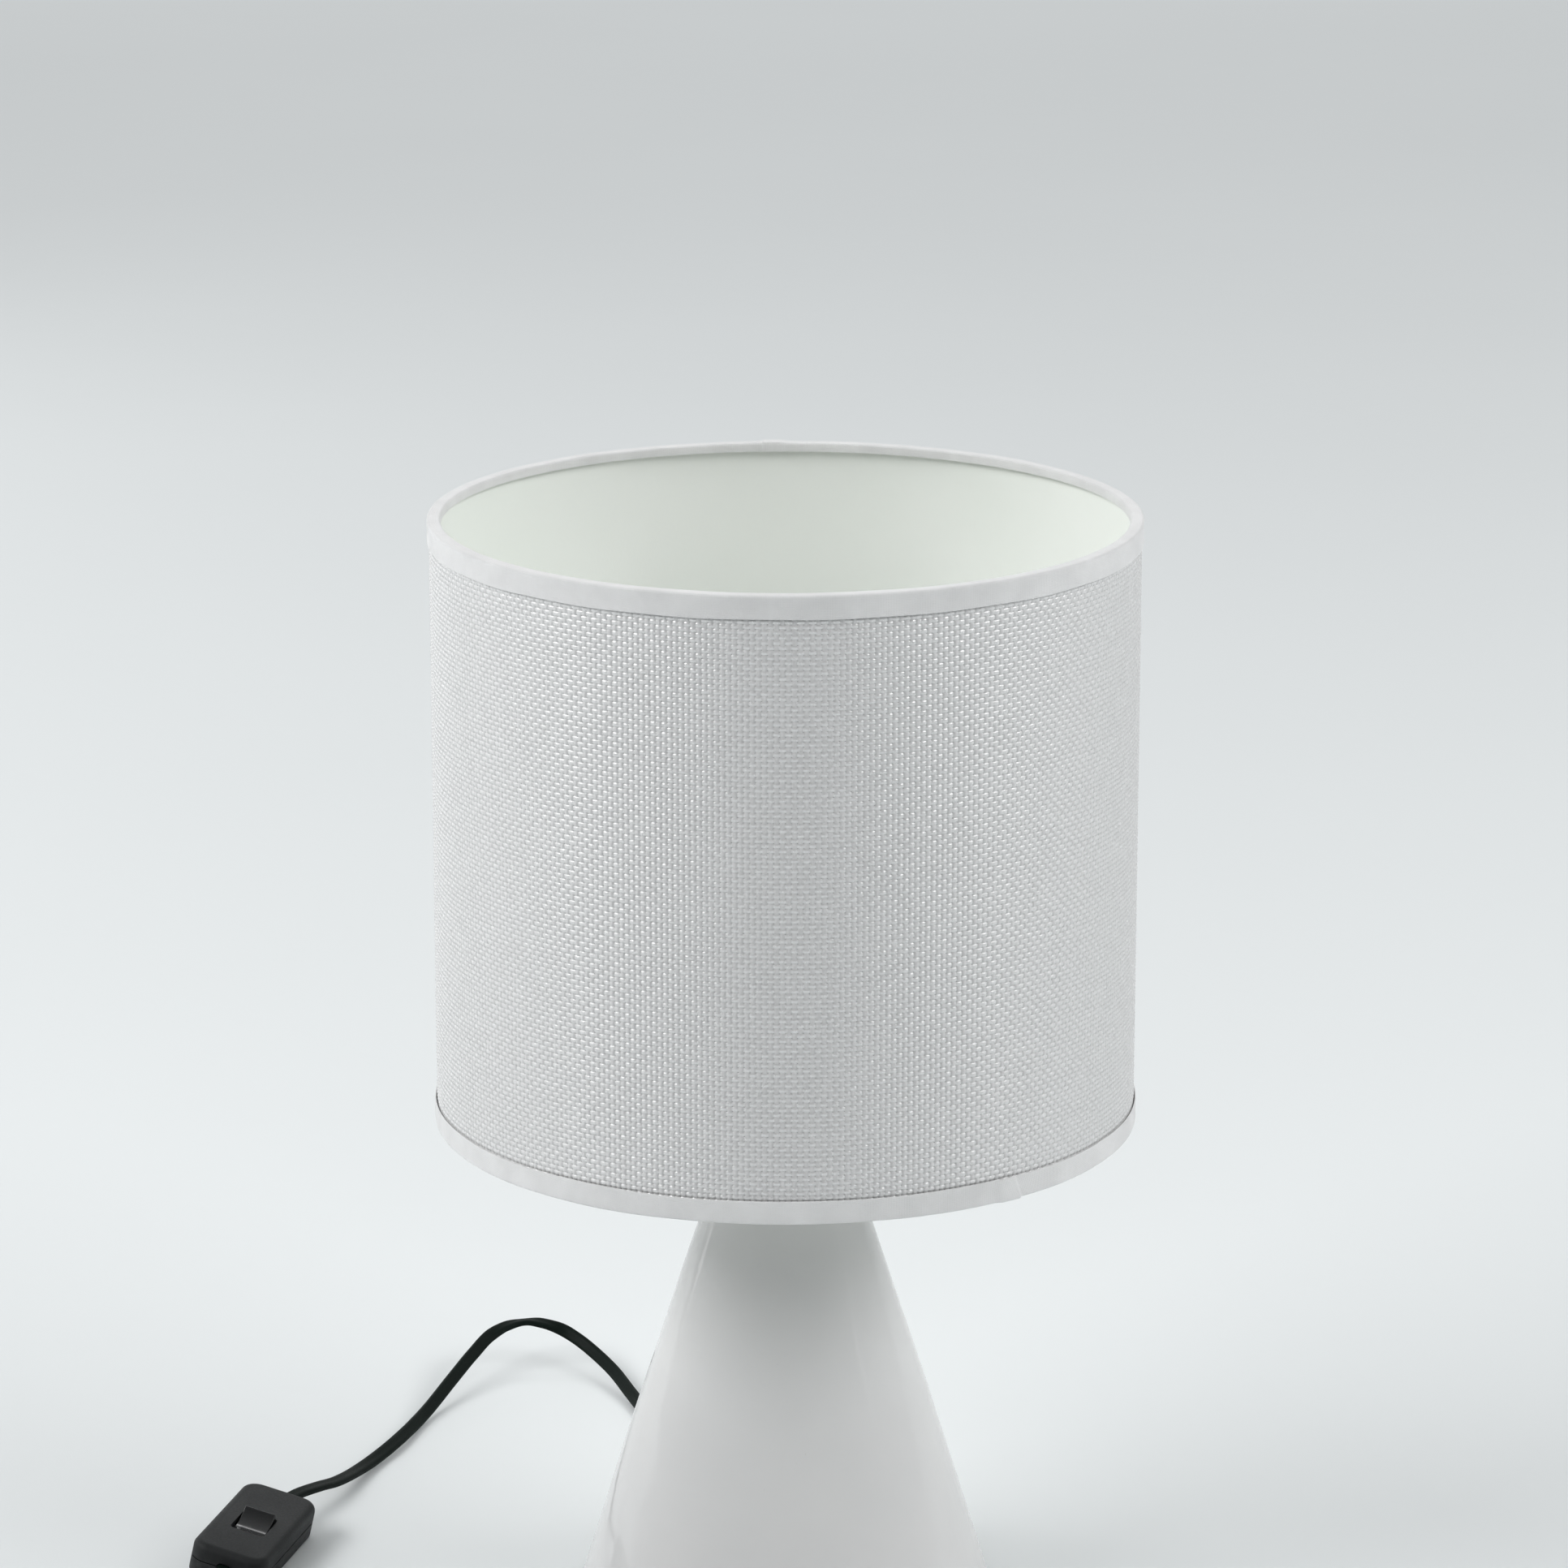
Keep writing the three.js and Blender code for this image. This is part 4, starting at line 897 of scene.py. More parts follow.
NECK_CAP = CONE_TOP + GAP
HOLDER = NECK_CAP + 1.6 + GAP
HOLDER_SPLIT = HOLDER + 18
STOP = HOLDER_SPLIT + 5
HOLDER_MOUTH = HOLDER_SPLIT + 38
BARREL_RADIUS = 19.8
CARRIER = STOP + GAP
CARRIER_THICKNESS = 2.0
SHELL = HOLDER_SPLIT + 2.6
BLOCK = HOLDER + 9


def thread(start, end, pitch, depth, least=0.0):
    """A relief for `turned` that cuts a round-formed screw thread between two heights."""
    def relief(angles, radius, height):
        if radius < least:
            return np.zeros_like(angles)
        fade = float(smoothstep(height, start, start + pitch / 2)
                     * (1 - smoothstep(height, end - pitch / 2, end)))
        phase = height / pitch * TAU - angles
        return -depth * fade * (0.5 - 0.5 * np.cos(phase))
    return relief


def neck(finishes):
    roof = CONE_TOP - CONE_ROOF
    washer_top = roof - GAP
    nut_top = washer_top - 1.4 - GAP
    low, high = nut_top - 8, HOLDER + 8
    nipple = turned("nipple", [(NIPPLE_BORE, low, 0.3), (NIPPLE_RADIUS, low, 0.4),
                               (NIPPLE_RADIUS, high, 0.4), (NIPPLE_BORE, high, 0.3)], SMALL,
                    closed=True, step=0.25, relief=thread(low, high, 1.0, 0.35, NIPPLE_RADIUS - 0.3))
    fit_out(nipple, finishes.steel, "lamp", "threaded_nipple")
    washer = turned("neck_washer", [(5.3, washer_top - 1.4, 0.2), (10.5, washer_top - 1.4, 0.4),
                                    (10.5, washer_top, 0.4), (5.3, washer_top, 0.2)], closed=True)
    fit_out(washer, finishes.steel, "lamp", "inner_washer")
    fit_out(hex_nut("neck_nut", 16, 5.3, nut_top - 5, nut_top), finishes.steel, "lamp",
            "inner_nut")
    cap = turned("neck_plate", [(5.3, NECK_CAP, 0.2), (15.5, NECK_CAP, 0.3), (15.5, NECK_CAP + 0.7, 0.5),
                                (14.2, NECK_CAP + 1.6, 0.8), (5.3, NECK_CAP + 1.6, 0.2)], closed=True)
    fit_out(cap, finishes.paint, "lamp", "neck_cap")
    lock = HOLDER + 2 + GAP
    fit_out(hex_nut("holder_nut", 14, 5.3, lock, lock + 3), finishes.steel, "lamp",
            "holder_lock_nut")


def holder(finishes):
    top = HOLDER_SPLIT - GAP

    def ribs(angles, radius, height):
        """Fine upright ribs round the base's waist."""
        if radius < 15 or not HOLDER + 3 < height < top - 2.5 or radius < 18.2 and height > HOLDER + 11.2:
            return np.zeros_like(angles)
        return 0.22 * np.cos(angles * 48)

    inner = BARREL_RADIUS - 1.8
    base = [(5.3, HOLDER, 0.2), (13.5, HOLDER, 0.5), (15, HOLDER + 1, 0.5), (19, HOLDER + 8, 2),
            (BARREL_RADIUS, HOLDER + 11, 1.5), (BARREL_RADIUS, top, 0.4), (inner, top, 0.2),
            (inner, HOLDER + 11.5, 1), (17, HOLDER + 8.6, 1.2), (13.2, HOLDER + 2, 1), (5.3, HOLDER + 2)]
    piece = turned("holder_foot", base, 288, closed=True, relief=ribs, step=1.2)
    fit_out(piece, finishes.white, "lamp", "holder_base")

    inner = BARREL_RADIUS - 2.4
    barrel = [(inner, HOLDER_SPLIT, 0.2), (BARREL_RADIUS, HOLDER_SPLIT, 0.4),
              (BARREL_RADIUS, STOP - 2.2, 0.4), (23.6, STOP - 2.2, 0.5), (23.6, STOP, 0.5),
              (BARREL_RADIUS, STOP, 0.4), (BARREL_RADIUS, HOLDER_MOUTH - 1, 0.4),
              (BARREL_RADIUS - 0.8, HOLDER_MOUTH, 0.4), (inner, HOLDER_MOUTH, 0.4)]
    outside = thread(STOP + 2, HOLDER_MOUTH - 2, 2.6, 0.5, BARREL_RADIUS - 0.3)
    piece = turned("holder_sleeve", barrel, ROUND, closed=True, relief=outside, step=0.45)
    fit_out(piece, finishes.white, "lamp", "holder_barrel")

    block = turned("terminal_disc", [(0, BLOCK), (16.6, BLOCK, 0.5), (16.6, SHELL - 2, 0.5),
                                     (0, SHELL - 2)], ROUND)
    holes = [turned("hole", [(0, BLOCK - 1), (2.1, BLOCK - 1), (2.1, BLOCK + 5), (0, BLOCK + 5)], SMALL,
                    matrix=Matrix.Translation((11 * side, 0, 0))) for side in (-1, 1)]
    fit_out(cut(block, *holes), finishes.white, "lamp", "terminal_block")
    for side, name in ((-1, "live"), (1, "neutral")):
        piece = screw(f"terminal_bolt_{name}", BLOCK - 1.6, 6, 1.6, 2.6, 1.3,
                      Matrix.Translation((11 * side, 0, 0)))
        fit_out(piece, finishes.brass, "lamp", f"terminal_screw_{name}")

    wall = [(5, SHELL, 0.1), (13.9, SHELL, 0.8), (13.9, SHELL + 29, 0.15), (13.5, SHELL + 29, 0.15),
            (13.5, SHELL + 0.6, 0.5), (5, SHELL + 0.6, 0.1)]
    rolled = thread(SHELL + 3, SHELL + 28, 3.6, 0.35, 13.2)
    piece = turned("screw_socket", wall, ROUND, closed=True, relief=rolled, step=0.5)
    fit_out(piece, finishes.brass, "lamp", "screw_shell")
    tongue = [(0, SHELL - 1.7), (3.4, SHELL - 1.7, 0.2), (3.4, SHELL - 0.9, 0.2),
              (2.2, SHELL - 0.9), (2.2, SHELL + 1.1, 0.7), (0, SHELL + 1.1)]
    piece = turned("contact_stud", tongue, SMALL)
    fit_out(piece, finishes.brass, "lamp", "centre_contact")


def screw(name, head_bottom, length, shank, head_radius, head_height, matrix):
    """A cross-headed screw, head down."""
    head = head_bottom + head_height
    tip = head_bottom + length
    profile = [(0, head_bottom), (head_radius * 0.6, head_bottom + 0.05), (head_radius, head_bottom + 0.35, 0.3),
               (head_radius, head, 0.1), (shank, head, 0.1), (shank, tip - 0.6), (shank * 0.6, tip), (0, tip)]
    piece = turned(name, profile, SMALL, step=0.3, matrix=matrix,
                   relief=thread(head + 0.4, tip, 0.8, 0.2, shank - 0.05))
    bars = []
    for turn in (0, math.pi / 2):
        vertices, faces = slab(head_radius * 1.1, 0.5, 0.15, head_bottom - 1, head_bottom + 0.7)
        place = matrix @ Matrix.Rotation(turn + 0.4, 4, "Z")
        bars.append(add_mesh("bar", moved(vertices, place), faces))
    return cut(piece, *bars)


# ---------- Bulb ----------

def bulb(finishes):
    tip = SHELL + 1.4
    piece = turned("bulb_contact", [(0, tip), (3.2, tip + 0.5, 1), (4.4, tip + 1.6, 0.3), (0, tip + 1.6)],
                   SMALL)
    fit_out(piece, finishes.nickel, "bulb", "bulb_tip")
    glass = tip + 1.6 + THIN_GAP
    piece = turned("bulb_glass_ring", [(0, glass), (4.8, glass, 0.4), (10.4, glass + 2.6, 0.6),
                                       (0, glass + 2.6)], SMALL)
    fit_out(piece, finishes.gloss, "bulb", "bulb_insulator")
    cap = glass + 2.6 + THIN_GAP
    profile = [(0, cap), (11, cap, 0.6), (13.1, cap + 2, 1.2), (13.1, cap + 24, 0.3), (0, cap + 24)]
    piece = turned("bulb_screw", profile, ROUND, step=0.4,
                   relief=thread(cap + 2.4, cap + 22.5, 3.6, 0.75, 12.4))
    fit_out(piece, finishes.nickel, "bulb", "bulb_cap")
    base = cap + 24 + GAP
    profile = [(0, base), (14, base, 0.5), (14.8, base + 6, 3), (19, base + 18, 12), (27.5, base + 31, 2.5),
               (27.5, base + 33, 0.4), (0, base + 33)]
    piece = turned("bulb_collar", profile, ROUND)
    fit_out(piece, finishes.white, "bulb", "bulb_housing")
    globe = base + 33 + GAP
    angles = np.linspace(-0.32, math.pi / 2, 26)
    profile = [(0, globe)] + [(30 * math.cos(a) if a < math.pi / 2 - 1e-6 else 0,
                               globe + 9.6 + 30 * math.sin(a)) for a in angles]
    piece = turned("bulb_dome", profile, ROUND, sharp=50)
    fit_out(piece, finishes.opal, "bulb", "bulb_globe")


# ---------- Shade ----------

TAPE = 0.4
FABRIC_OUTER = SHADE_RADIUS - TAPE - THIN_GAP
FABRIC_THICKNESS = 0.8
LINING_OUTER = FABRIC_OUTER - FABRIC_THICKNESS - THIN_GAP
LINING_THICKNESS = 0.4
WIRE_RADIUS = 0.9
WIRE_CENTRE = LINING_OUTER - LINING_THICKNESS - THIN_GAP - WIRE_RADIUS
TAPE_INNER = WIRE_CENTRE - WIRE_RADIUS - THIN_GAP
TAPE_OUTER_LEG = 8.0
TAPE_INNER_LEG = 3.1
EDGE_INSET = 1.3
LINING_INSET = 0.5
SEAM_ANGLE = math.radians(90 + 3)       # where cloth and lining overlap, at the back
FRONT = math.radians(270)               # the angle of the side towards the camera

WARP_THREADS = 390
WEFT_THREADS = 124
INNER_SHARE = 3                         # warp threads to each face of the cloth's inner side


def seam_step(angles, lap, height):
    """Extra radius where a sheet overlaps itself: a crisp free edge, and a slow start."""
    away = (np.asarray(angles, float) - SEAM_ANGLE + math.pi) % TAU - math.pi
    return height * smoothstep(away, -lap - 0.03, -lap) * (1 - smoothstep(away, 0, 0.004))


def woven_cloth():
    """The cloth as one closed sheet whose outside rises at each crossing and dips between threads."""
    bottom, top = SHADE_BOTTOM + EDGE_INSET, LAMP_HEIGHT - EDGE_INSET
    pitch_z = (top - bottom) / WEFT_THREADS
    draw = np.random.default_rng(11)
    slub = np.clip(draw.normal(0, 0.03, (WEFT_THREADS, WARP_THREADS)), -0.08, 0.08)
    thick = np.clip(draw.normal(0, 0.035, WEFT_THREADS), -0.08, 0.08)[:, None]

    def surface(u, v, radius):
        angles = u * TAU / WARP_THREADS
        radius = radius + seam_step(angles, 0.07, 0.35)
        return np.stack([radius * np.cos(angles), radius * np.sin(angles), bottom + v * pitch_z], -1)

    columns = np.arange(WARP_THREADS)
    rows = np.arange(WEFT_THREADS)
    u, v = np.meshgrid(columns + 0.0, rows + 0.5)
    weft_over = (np.add.outer(rows, columns) % 2) == 0
    crest = FABRIC_OUTER - np.where(weft_over, 0.0, 0.13) + np.minimum(slub + thick, 0.04)
    crests = surface(u, v, crest)
    u_gap, v_gap = np.meshgrid(columns + 0.5, np.arange(WEFT_THREADS + 1) + 0.0)
    pits = surface(u_gap, v_gap, np.full(u_gap.shape, FABRIC_OUTER - 0.42))
    count = WARP_THREADS * WEFT_THREADS
    vertices = np.concatenate([crests.reshape(-1, 3), pits.reshape(-1, 3)])
    uv = np.concatenate([np.stack([u, v - 0.5], -1).reshape(-1, 2),
                         np.stack([u_gap, v_gap - 0.5], -1).reshape(-1, 2)])

    column, row = np.meshgrid(columns, rows)
    crossing = row * WARP_THREADS + column
    left, right = (column - 1) % WARP_THREADS, column
    pit = lambda r, c: count + r * WARP_THREADS + c
    a, b = pit(row, left), pit(row, right)
    c, d = pit(row + 1, right), pit(row + 1, left)
    quarters = [np.stack(trio, -1).reshape(-1, 3)
                for trio in ((crossing, a, b), (crossing, b, c), (crossing, c, d), (crossing, d, a))]
    faces = np.concatenate(quarters).tolist()

    inner_u = np.arange(0, WARP_THREADS, INNER_SHARE) + 0.5
    inner = FABRIC_OUTER - FABRIC_THICKNESS
    low = surface(inner_u, np.zeros(len(inner_u)), np.full(len(inner_u), inner))
    high = surface(inner_u, np.full(len(inner_u), float(WEFT_THREADS)), np.full(len(inner_u), inner))
    first_low = len(vertices)
    first_high = first_low + len(inner_u)
    vertices = np.concatenate([vertices, low, high])
    uv = np.concatenate([uv, np.stack([inner_u, np.full(len(inner_u), -0.5)], -1),
                         np.stack([inner_u, np.full(len(inner_u), WEFT_THREADS - 0.5)], -1)])
    for k in range(len(inner_u)):
        after = (k + 1) % len(inner_u)
        edge = [(k * INNER_SHARE + i) % WARP_THREADS for i in range(INNER_SHARE + 1)]
        faces.append([first_low + after, first_low + k] + [pit(0, c) for c in edge])
        faces.append([first_high + k, first_high + after] + [pit(WEFT_THREADS, c) for c in edge[::-1]])
        faces.append([first_low + k, first_low + after, first_high + after, first_high + k])
    return vertices, faces, uv


def seam_safe_uv(mesh, period):
    """Where a face spans the joint of the UV map, its low corners go on past the end."""
    layer = mesh.uv_layers["weave"].data
    for face in mesh.polygons:
        around = [layer[i].uv[0] for i in face.loop_indices]
        if max(around) - min(around) > period / 2:
            for i in face.loop_indices:
                if layer[i].uv[0] < period / 2:
                    layer[i].uv[0] += period


def edge_tape(name, edge, direction, lap_angle, lap_slant, seed):
    """The tape folded over one edge of the shade, with the uneven fold and the lap of a glued one.

    direction is 1 at the top edge and -1 at the bottom one."""
    deep = lambda depth: edge - direction * depth
    outer, inner = SHADE_RADIUS, TAPE_INNER - TAPE
    profile = rounded([
        (outer, deep(TAPE_OUTER_LEG), 0.15), (outer, deep(0), 0.9), (inner, deep(0), 0.8),
        (inner, deep(TAPE_INNER_LEG), 0.15), (inner + TAPE, deep(TAPE_INNER_LEG), 0.15),
        (inner + TAPE, deep(TAPE), 0.5), (outer - TAPE, deep(TAPE), 0.6),
        (outer - TAPE, deep(TAPE_OUTER_LEG), 0.15),
    ], True, 4)
    profile = np.array(dense(profile + [profile[0]], 1.1)[:-1])
    across = np.concatenate([[0], np.cumsum(np.linalg.norm(np.diff(profile, axis=0), axis=1))])
    coarse = np.arange(300) * TAU / 300
    near = lap_angle + np.linspace(-0.12, 0.12, 61)
    apart = np.abs((coarse - lap_angle + math.pi) % TAU - math.pi)
    angles = np.concatenate([coarse[apart > 0.122], near])
    away = (angles - lap_angle + math.pi) % TAU - math.pi
    order = np.argsort(away)
    away = away[order]
    near_lap = np.exp(-(away / 0.07) ** 2)
    lap = TAPE * 0.9 * smoothstep(away, -0.085, -0.05) * (1 - smoothstep(away, 0, 0.004))
    fold = ripple(away, seed, (5, 9, 14, 23), 0.16)
    hem = ripple(away, seed + 1, (4, 7, 11, 19), 0.22)
    vertices, uv = [], []
    for k in range(len(away)):
        for (radius, z), s in zip(profile, across):
            depth = (edge - z) * direction
            outside = radius > (outer + inner) / 2
            angle = away[k] + lap_angle + near_lap[k] * lap_slant * (depth - 4) / outer * outside
            grow = lap[k] * (1 if outside else -1)
            rise = fold[k] * (1 - float(smoothstep(depth, 0, 2.5)))
            drop = -hem[k] * float(smoothstep(depth, 4, TAPE_OUTER_LEG)) * outside
            height = z + direction * (min(rise + lap[k] * (depth < 0.3), 0.4) + drop)
            swell = radius + grow + 0.12 * fold[k]
            vertices.append((swell * math.cos(angle), swell * math.sin(angle), height))
            uv.append(((away[k] + math.pi) * outer / 0.55, s / 0.5))
    count = len(profile)
    faces = []
    for k in range(len(away)):
        after = (k + 1) % len(away)
        for i in range(count):
            j = (i + 1) % count
            faces.append((k * count + i, k * count + j, after * count + j, after * count + i))
    return add_mesh(name, vertices, faces, 40, uv), TAU * outer / 0.55


def shade(finishes):
    vertices, faces, uv = woven_cloth()
    cloth = add_mesh("shade_cloth", vertices, faces, None, uv)
    seam_safe_uv(cloth.data, WARP_THREADS)
    fit_out(cloth, finishes.weave, "shade", "shade_fabric")

    bottom, top = SHADE_BOTTOM + EDGE_INSET + LINING_INSET, LAMP_HEIGHT - EDGE_INSET - LINING_INSET
    inner = LINING_OUTER - LINING_THICKNESS

    def buckle(angles, radius, height):
        """Faint waves of a film glued round a frame, and its overlap at the back."""
        share = math.sin((height - bottom) / (top - bottom) * math.pi)
        return (share * ripple(angles + height / 400, 21, (3, 5, 8), 0.1)
                - seam_step(angles, 0.07, 0.15) * (radius < LINING_OUTER - 0.2))

    profile = [(inner, bottom), (LINING_OUTER, bottom), (LINING_OUTER, top), (inner, top)]
    lining = turned("lining_film", profile, 360, closed=True, relief=buckle, step=12)
    fit_out(lining, finishes.lining, "shade", "shade_lining")

    for name, edge, direction, lap_angle, slant, seed in (
            ("top_trim", LAMP_HEIGHT, 1, math.radians(90 + 4), 0.15, 31),
            ("bottom_trim", SHADE_BOTTOM, -1, FRONT + math.radians(39.5), -0.35, 41)):
        tape, period = edge_tape(name, edge, direction, lap_angle, slant, seed)
        seam_safe_uv(tape.data, period)
        stands_for = "top_edge_tape" if direction == 1 else "bottom_edge_tape"
        fit_out(tape, finishes.tape, "shade", stands_for)

    inset = TAPE + THIN_GAP + WIRE_RADIUS
    for name, node, z in (("top_hoop", "top_ring_wire", LAMP_HEIGHT - inset),
                          ("bottom_hoop", "bottom_ring_wire", SHADE_BOTTOM + inset)):
        profile = [(WIRE_CENTRE + WIRE_RADIUS * math.cos(a), z + WIRE_RADIUS * math.sin(a))
                   for a in np.arange(16) * TAU / 16]
        fit_out(turned(name, profile, FINE, closed=True, sharp=60), finishes.paint, "shade",
                node)


def shade_carrier(finishes):
    """The fitting ring, its three arms and the ring nut that clamps it on the holder."""
    top = CARRIER + CARRIER_THICKNESS
    ring = turned("carrier_ring", [(21, CARRIER, 0.4), (27.5, CARRIER, 0.9), (27.5, top, 0.9), (21, top, 0.4)],
                  ROUND, closed=True)
    fit_out(ring, finishes.paint, "shade", "fitting_ring")

    arm_radius = 1.5
    inner, outer = 27.5 + GAP + arm_radius, TAPE_INNER - TAPE - GAP
    high, low = CARRIER + CARRIER_THICKNESS / 2, SHADE_BOTTOM + TAPE + THIN_GAP + WIRE_RADIUS
    section = [(arm_radius * math.cos(a), arm_radius * math.sin(a)) for a in np.arange(16) * TAU / 16]
    for i in range(3):
        line, _ = smooth_route([(inner, 0, high), (inner + 7, 0, high - 0.6), (outer - 12, 0, low + 2.4),
                                (outer, 0, low)], 2)
        rings = sweep(line, section)
        for end in (0, -1):
            middle = line[end]
            rings[end] = [middle + (p - middle) * 0.72 for p in rings[end]]
        vertices, faces = loft(rings)
        turn = Matrix.Rotation(math.pi / 2 + i * TAU / 3, 4, "Z")
        arm = add_mesh(f"arm_{i + 1}", moved(vertices, turn), faces, 50)
        fit_out(arm, finishes.paint, "shade", f"spider_arm_{i + 1}")

    bottom, radius = top + GAP, 25.5

    def notches(angles, at, height):
        """Sixteen finger notches round the outside."""
        if at < 24:
            return np.zeros_like(angles)
        return -0.95 * np.exp(-(((angles + math.pi / 16) % (math.pi / 8) - math.pi / 16) / 0.05) ** 2)

    profile = [(BARREL_RADIUS + GAP, bottom, 0.4), (radius, bottom, 0.5), (radius, bottom + 8, 1.1),
               (BARREL_RADIUS + GAP, bottom + 8, 0.5)]
    nut = turned("ring_nut", profile, 256, closed=True, relief=notches, step=1.5)
    fit_out(nut, finishes.white, "retaining_ring", "shade_retaining_ring")


# ---------- Inline switch, drawn about its own centre ----------

SWITCH_WALL = 1.8
SWITCH_SPLIT = 6.4
PIVOT_X, PIVOT_Z = 2.5, 9.2
ROCKER_TILT = math.radians(14)
ROCKER_HALF_LENGTH, ROCKER_HALF_WIDTH = 7.0, 5.7
BRIDGE_Z, BRIDGE_HALF, BRIDGE_TILT = 4.5, 6.5, math.radians(8)
SWITCH_SCREWS = ((-22, 9), (22, -9))


def switch_block(name, *sizes, **settings):
    vertices, faces = slab(*sizes, **settings)
    return add_mesh(name, moved(vertices, SWITCH), faces)


def peg(name, x, y, radius, bottom, top):
    return turned(name, [(0, bottom), (radius, bottom), (radius, top), (0, top)], SMALL,
                  matrix=SWITCH @ Matrix.Translation((x, y, 0)))


def cable_slots():
    """Cutters for the two openings that the lead goes in by."""
    out = []
    for side in (-1, 1):
        outline = rounded_rectangle(CORD_WIDTH + 0.5, CORD_THICKNESS + 0.5, 1.3)
        rings = [[(side * SWITCH_LENGTH / 2 + x, y, SWITCH_ENTRY + z) for y, z in outline]
                 for x in (-4, 4)]
        vertices, faces = loft(rings)
        out.append(add_mesh("slot", moved(vertices, SWITCH), faces))
    return out


def inline_switch(finishes):
    length, width = SWITCH_LENGTH, SWITCH_WIDTH
    room_length, room_width = length - 2 * SWITCH_WALL, width - 2 * SWITCH_WALL
    floor = 1.8

    base = switch_block("switch_shell_base", length, width, 6.5, 0, SWITCH_SPLIT, low_edge=1.6)
    cutters = [switch_block("room", room_length, room_width, 4.4, floor, SWITCH_SPLIT + 4)]
    cutters += [peg("hole", x, y, 1.7, -1, 5) for x, y in SWITCH_SCREWS]
    cutters += [peg("sink", x, y, 2.9, -1, 1.5) for x, y in SWITCH_SCREWS]
    soften(cut(base, *cutters, *cable_slots()), 0.25, 2)
    fit_out(base, finishes.black, "lamp", "switch_base")

    cover = switch_block("switch_shell_cover", length, width, 6.5, SWITCH_SPLIT + GAP, SWITCH_HEIGHT,
                         high_edge=2.6)
    vertices, faces = slab(2 * ROCKER_HALF_LENGTH + 2.4, 2 * ROCKER_HALF_WIDTH + 1.2, 1.6, 7.2,
                           SWITCH_HEIGHT + 2)
    window = add_mesh("window", moved(vertices, SWITCH @ Matrix.Translation((PIVOT_X, 0, 0))), faces)
    room = switch_block("room", room_length, room_width, 4.4, SWITCH_SPLIT - 4, SWITCH_HEIGHT - SWITCH_WALL)
    soften(cut(cover, room, window, *cable_slots()), 0.35, 3)
    fit_out(cover, finishes.black, "lamp", "switch_cover")

    for i, (x, y) in enumerate(SWITCH_SCREWS, 1):
        piece = screw(f"shell_screw_{i}", 0.3, 8, 1.25, 2.5, 0.9, SWITCH @ Matrix.Translation((x, y, 0)))
        fit_out(piece, finishes.steel, "lamp", f"switch_screw_{i}")

    pivot = SWITCH @ Matrix.Translation((PIVOT_X, 0, PIVOT_Z))
    tilted = pivot @ Matrix.Rotation(ROCKER_TILT, 4, "Y")
    end = ROCKER_HALF_LENGTH
    valley = [(x, 2.75 + 2.65 * (x / end) ** 2) for x in np.linspace(end - 0.9, 0.9 - end, 13)]
    outline = rounded([(-end, -0.6, 0.5), (-2.4, -2.8, 0.8), (2.4, -2.8, 0.8), (end, -0.6, 0.5),
                       (end, 5.5, 0.7), *valley, (-end, 5.5, 0.7)], True, 4)
    half = ROCKER_HALF_WIDTH
    rings = [[(x, y, z) for x, z in outline] for y in (-half, half)]
    vertices, faces = loft(rings)
    rocker = soften(add_mesh("rocker_button", moved(vertices, tilted), faces), 0.5, 4, 50)
    fit_out(rocker, finishes.gloss, "rocker", "switch_rocker")

    sideways = Matrix.Rotation(math.pi / 2, 4, "X")
    axle = turned("rocker_pin", [(0, -8.1), (1, -8.1, 0.2), (1, 8.1, 0.2), (0, 8.1)], SMALL,
                  matrix=pivot @ sideways)
    fit_out(axle, finishes.steel, "lamp", "rocker_axle")
    plunger = turned("plunger", [(0, -4.05), (0.8, -3.98, 0.2), (1.2, -3.6, 0.2), (1.2, -3.1, 0.1), (0, -3.1)],
                     SMALL, matrix=tilted)
    fit_out(plunger, finishes.brass, "rocker", "switch_plunger")

    floor += GAP
    drop = BRIDGE_HALF * math.sin(BRIDGE_TILT) + 0.8
    contacts = (
        ("see_saw", "contact_bridge", "bridge", (0, BRIDGE_Z), (2 * BRIDGE_HALF, 4), (-0.35, 0.35)),
        ("fulcrum", "fulcrum_terminal", "lamp", (0, 0), (3, 6), (floor, BRIDGE_Z - 0.8)),
        ("anvil", "switched_terminal", "lamp", (-BRIDGE_HALF - 1.5, 0), (6, 6), (floor, BRIDGE_Z - drop)),
    )
    for name, node, body, (x, z), (long, wide), (low, high) in contacts:
        place = SWITCH @ Matrix.Translation((PIVOT_X + x, 0, z))
        if body == "bridge":
            place = place @ Matrix.Rotation(-BRIDGE_TILT, 4, "Y")
        vertices, faces = slab(long, wide, 0.5, low, high, 0.15, 0.15)
        fit_out(add_mesh(name, moved(vertices, place), faces), finishes.brass, body, node)


# ---------- Plug, drawn along +X from the start of its boot ----------

PLUG = Matrix.Translation((PLUG_RELIEF_START, PLUG_Y, 0))
PLUG_BOOT = 22.0
PLUG_LENGTH = 36.0
PLUG_HEIGHT = 13.7
PLUG_HALF_WIDTH = 17.6
PIN_SPACING = 18.6


def bezier(a, b, c, d, steps):
    t = np.linspace(0, 1, steps)[:, None]
    a, b, c, d = (np.array(p, float) for p in (a, b, c, d))
    return (1 - t) ** 3 * a + 3 * (1 - t) ** 2 * t * b + 3 * (1 - t) * t ** 2 * c + t ** 3 * d


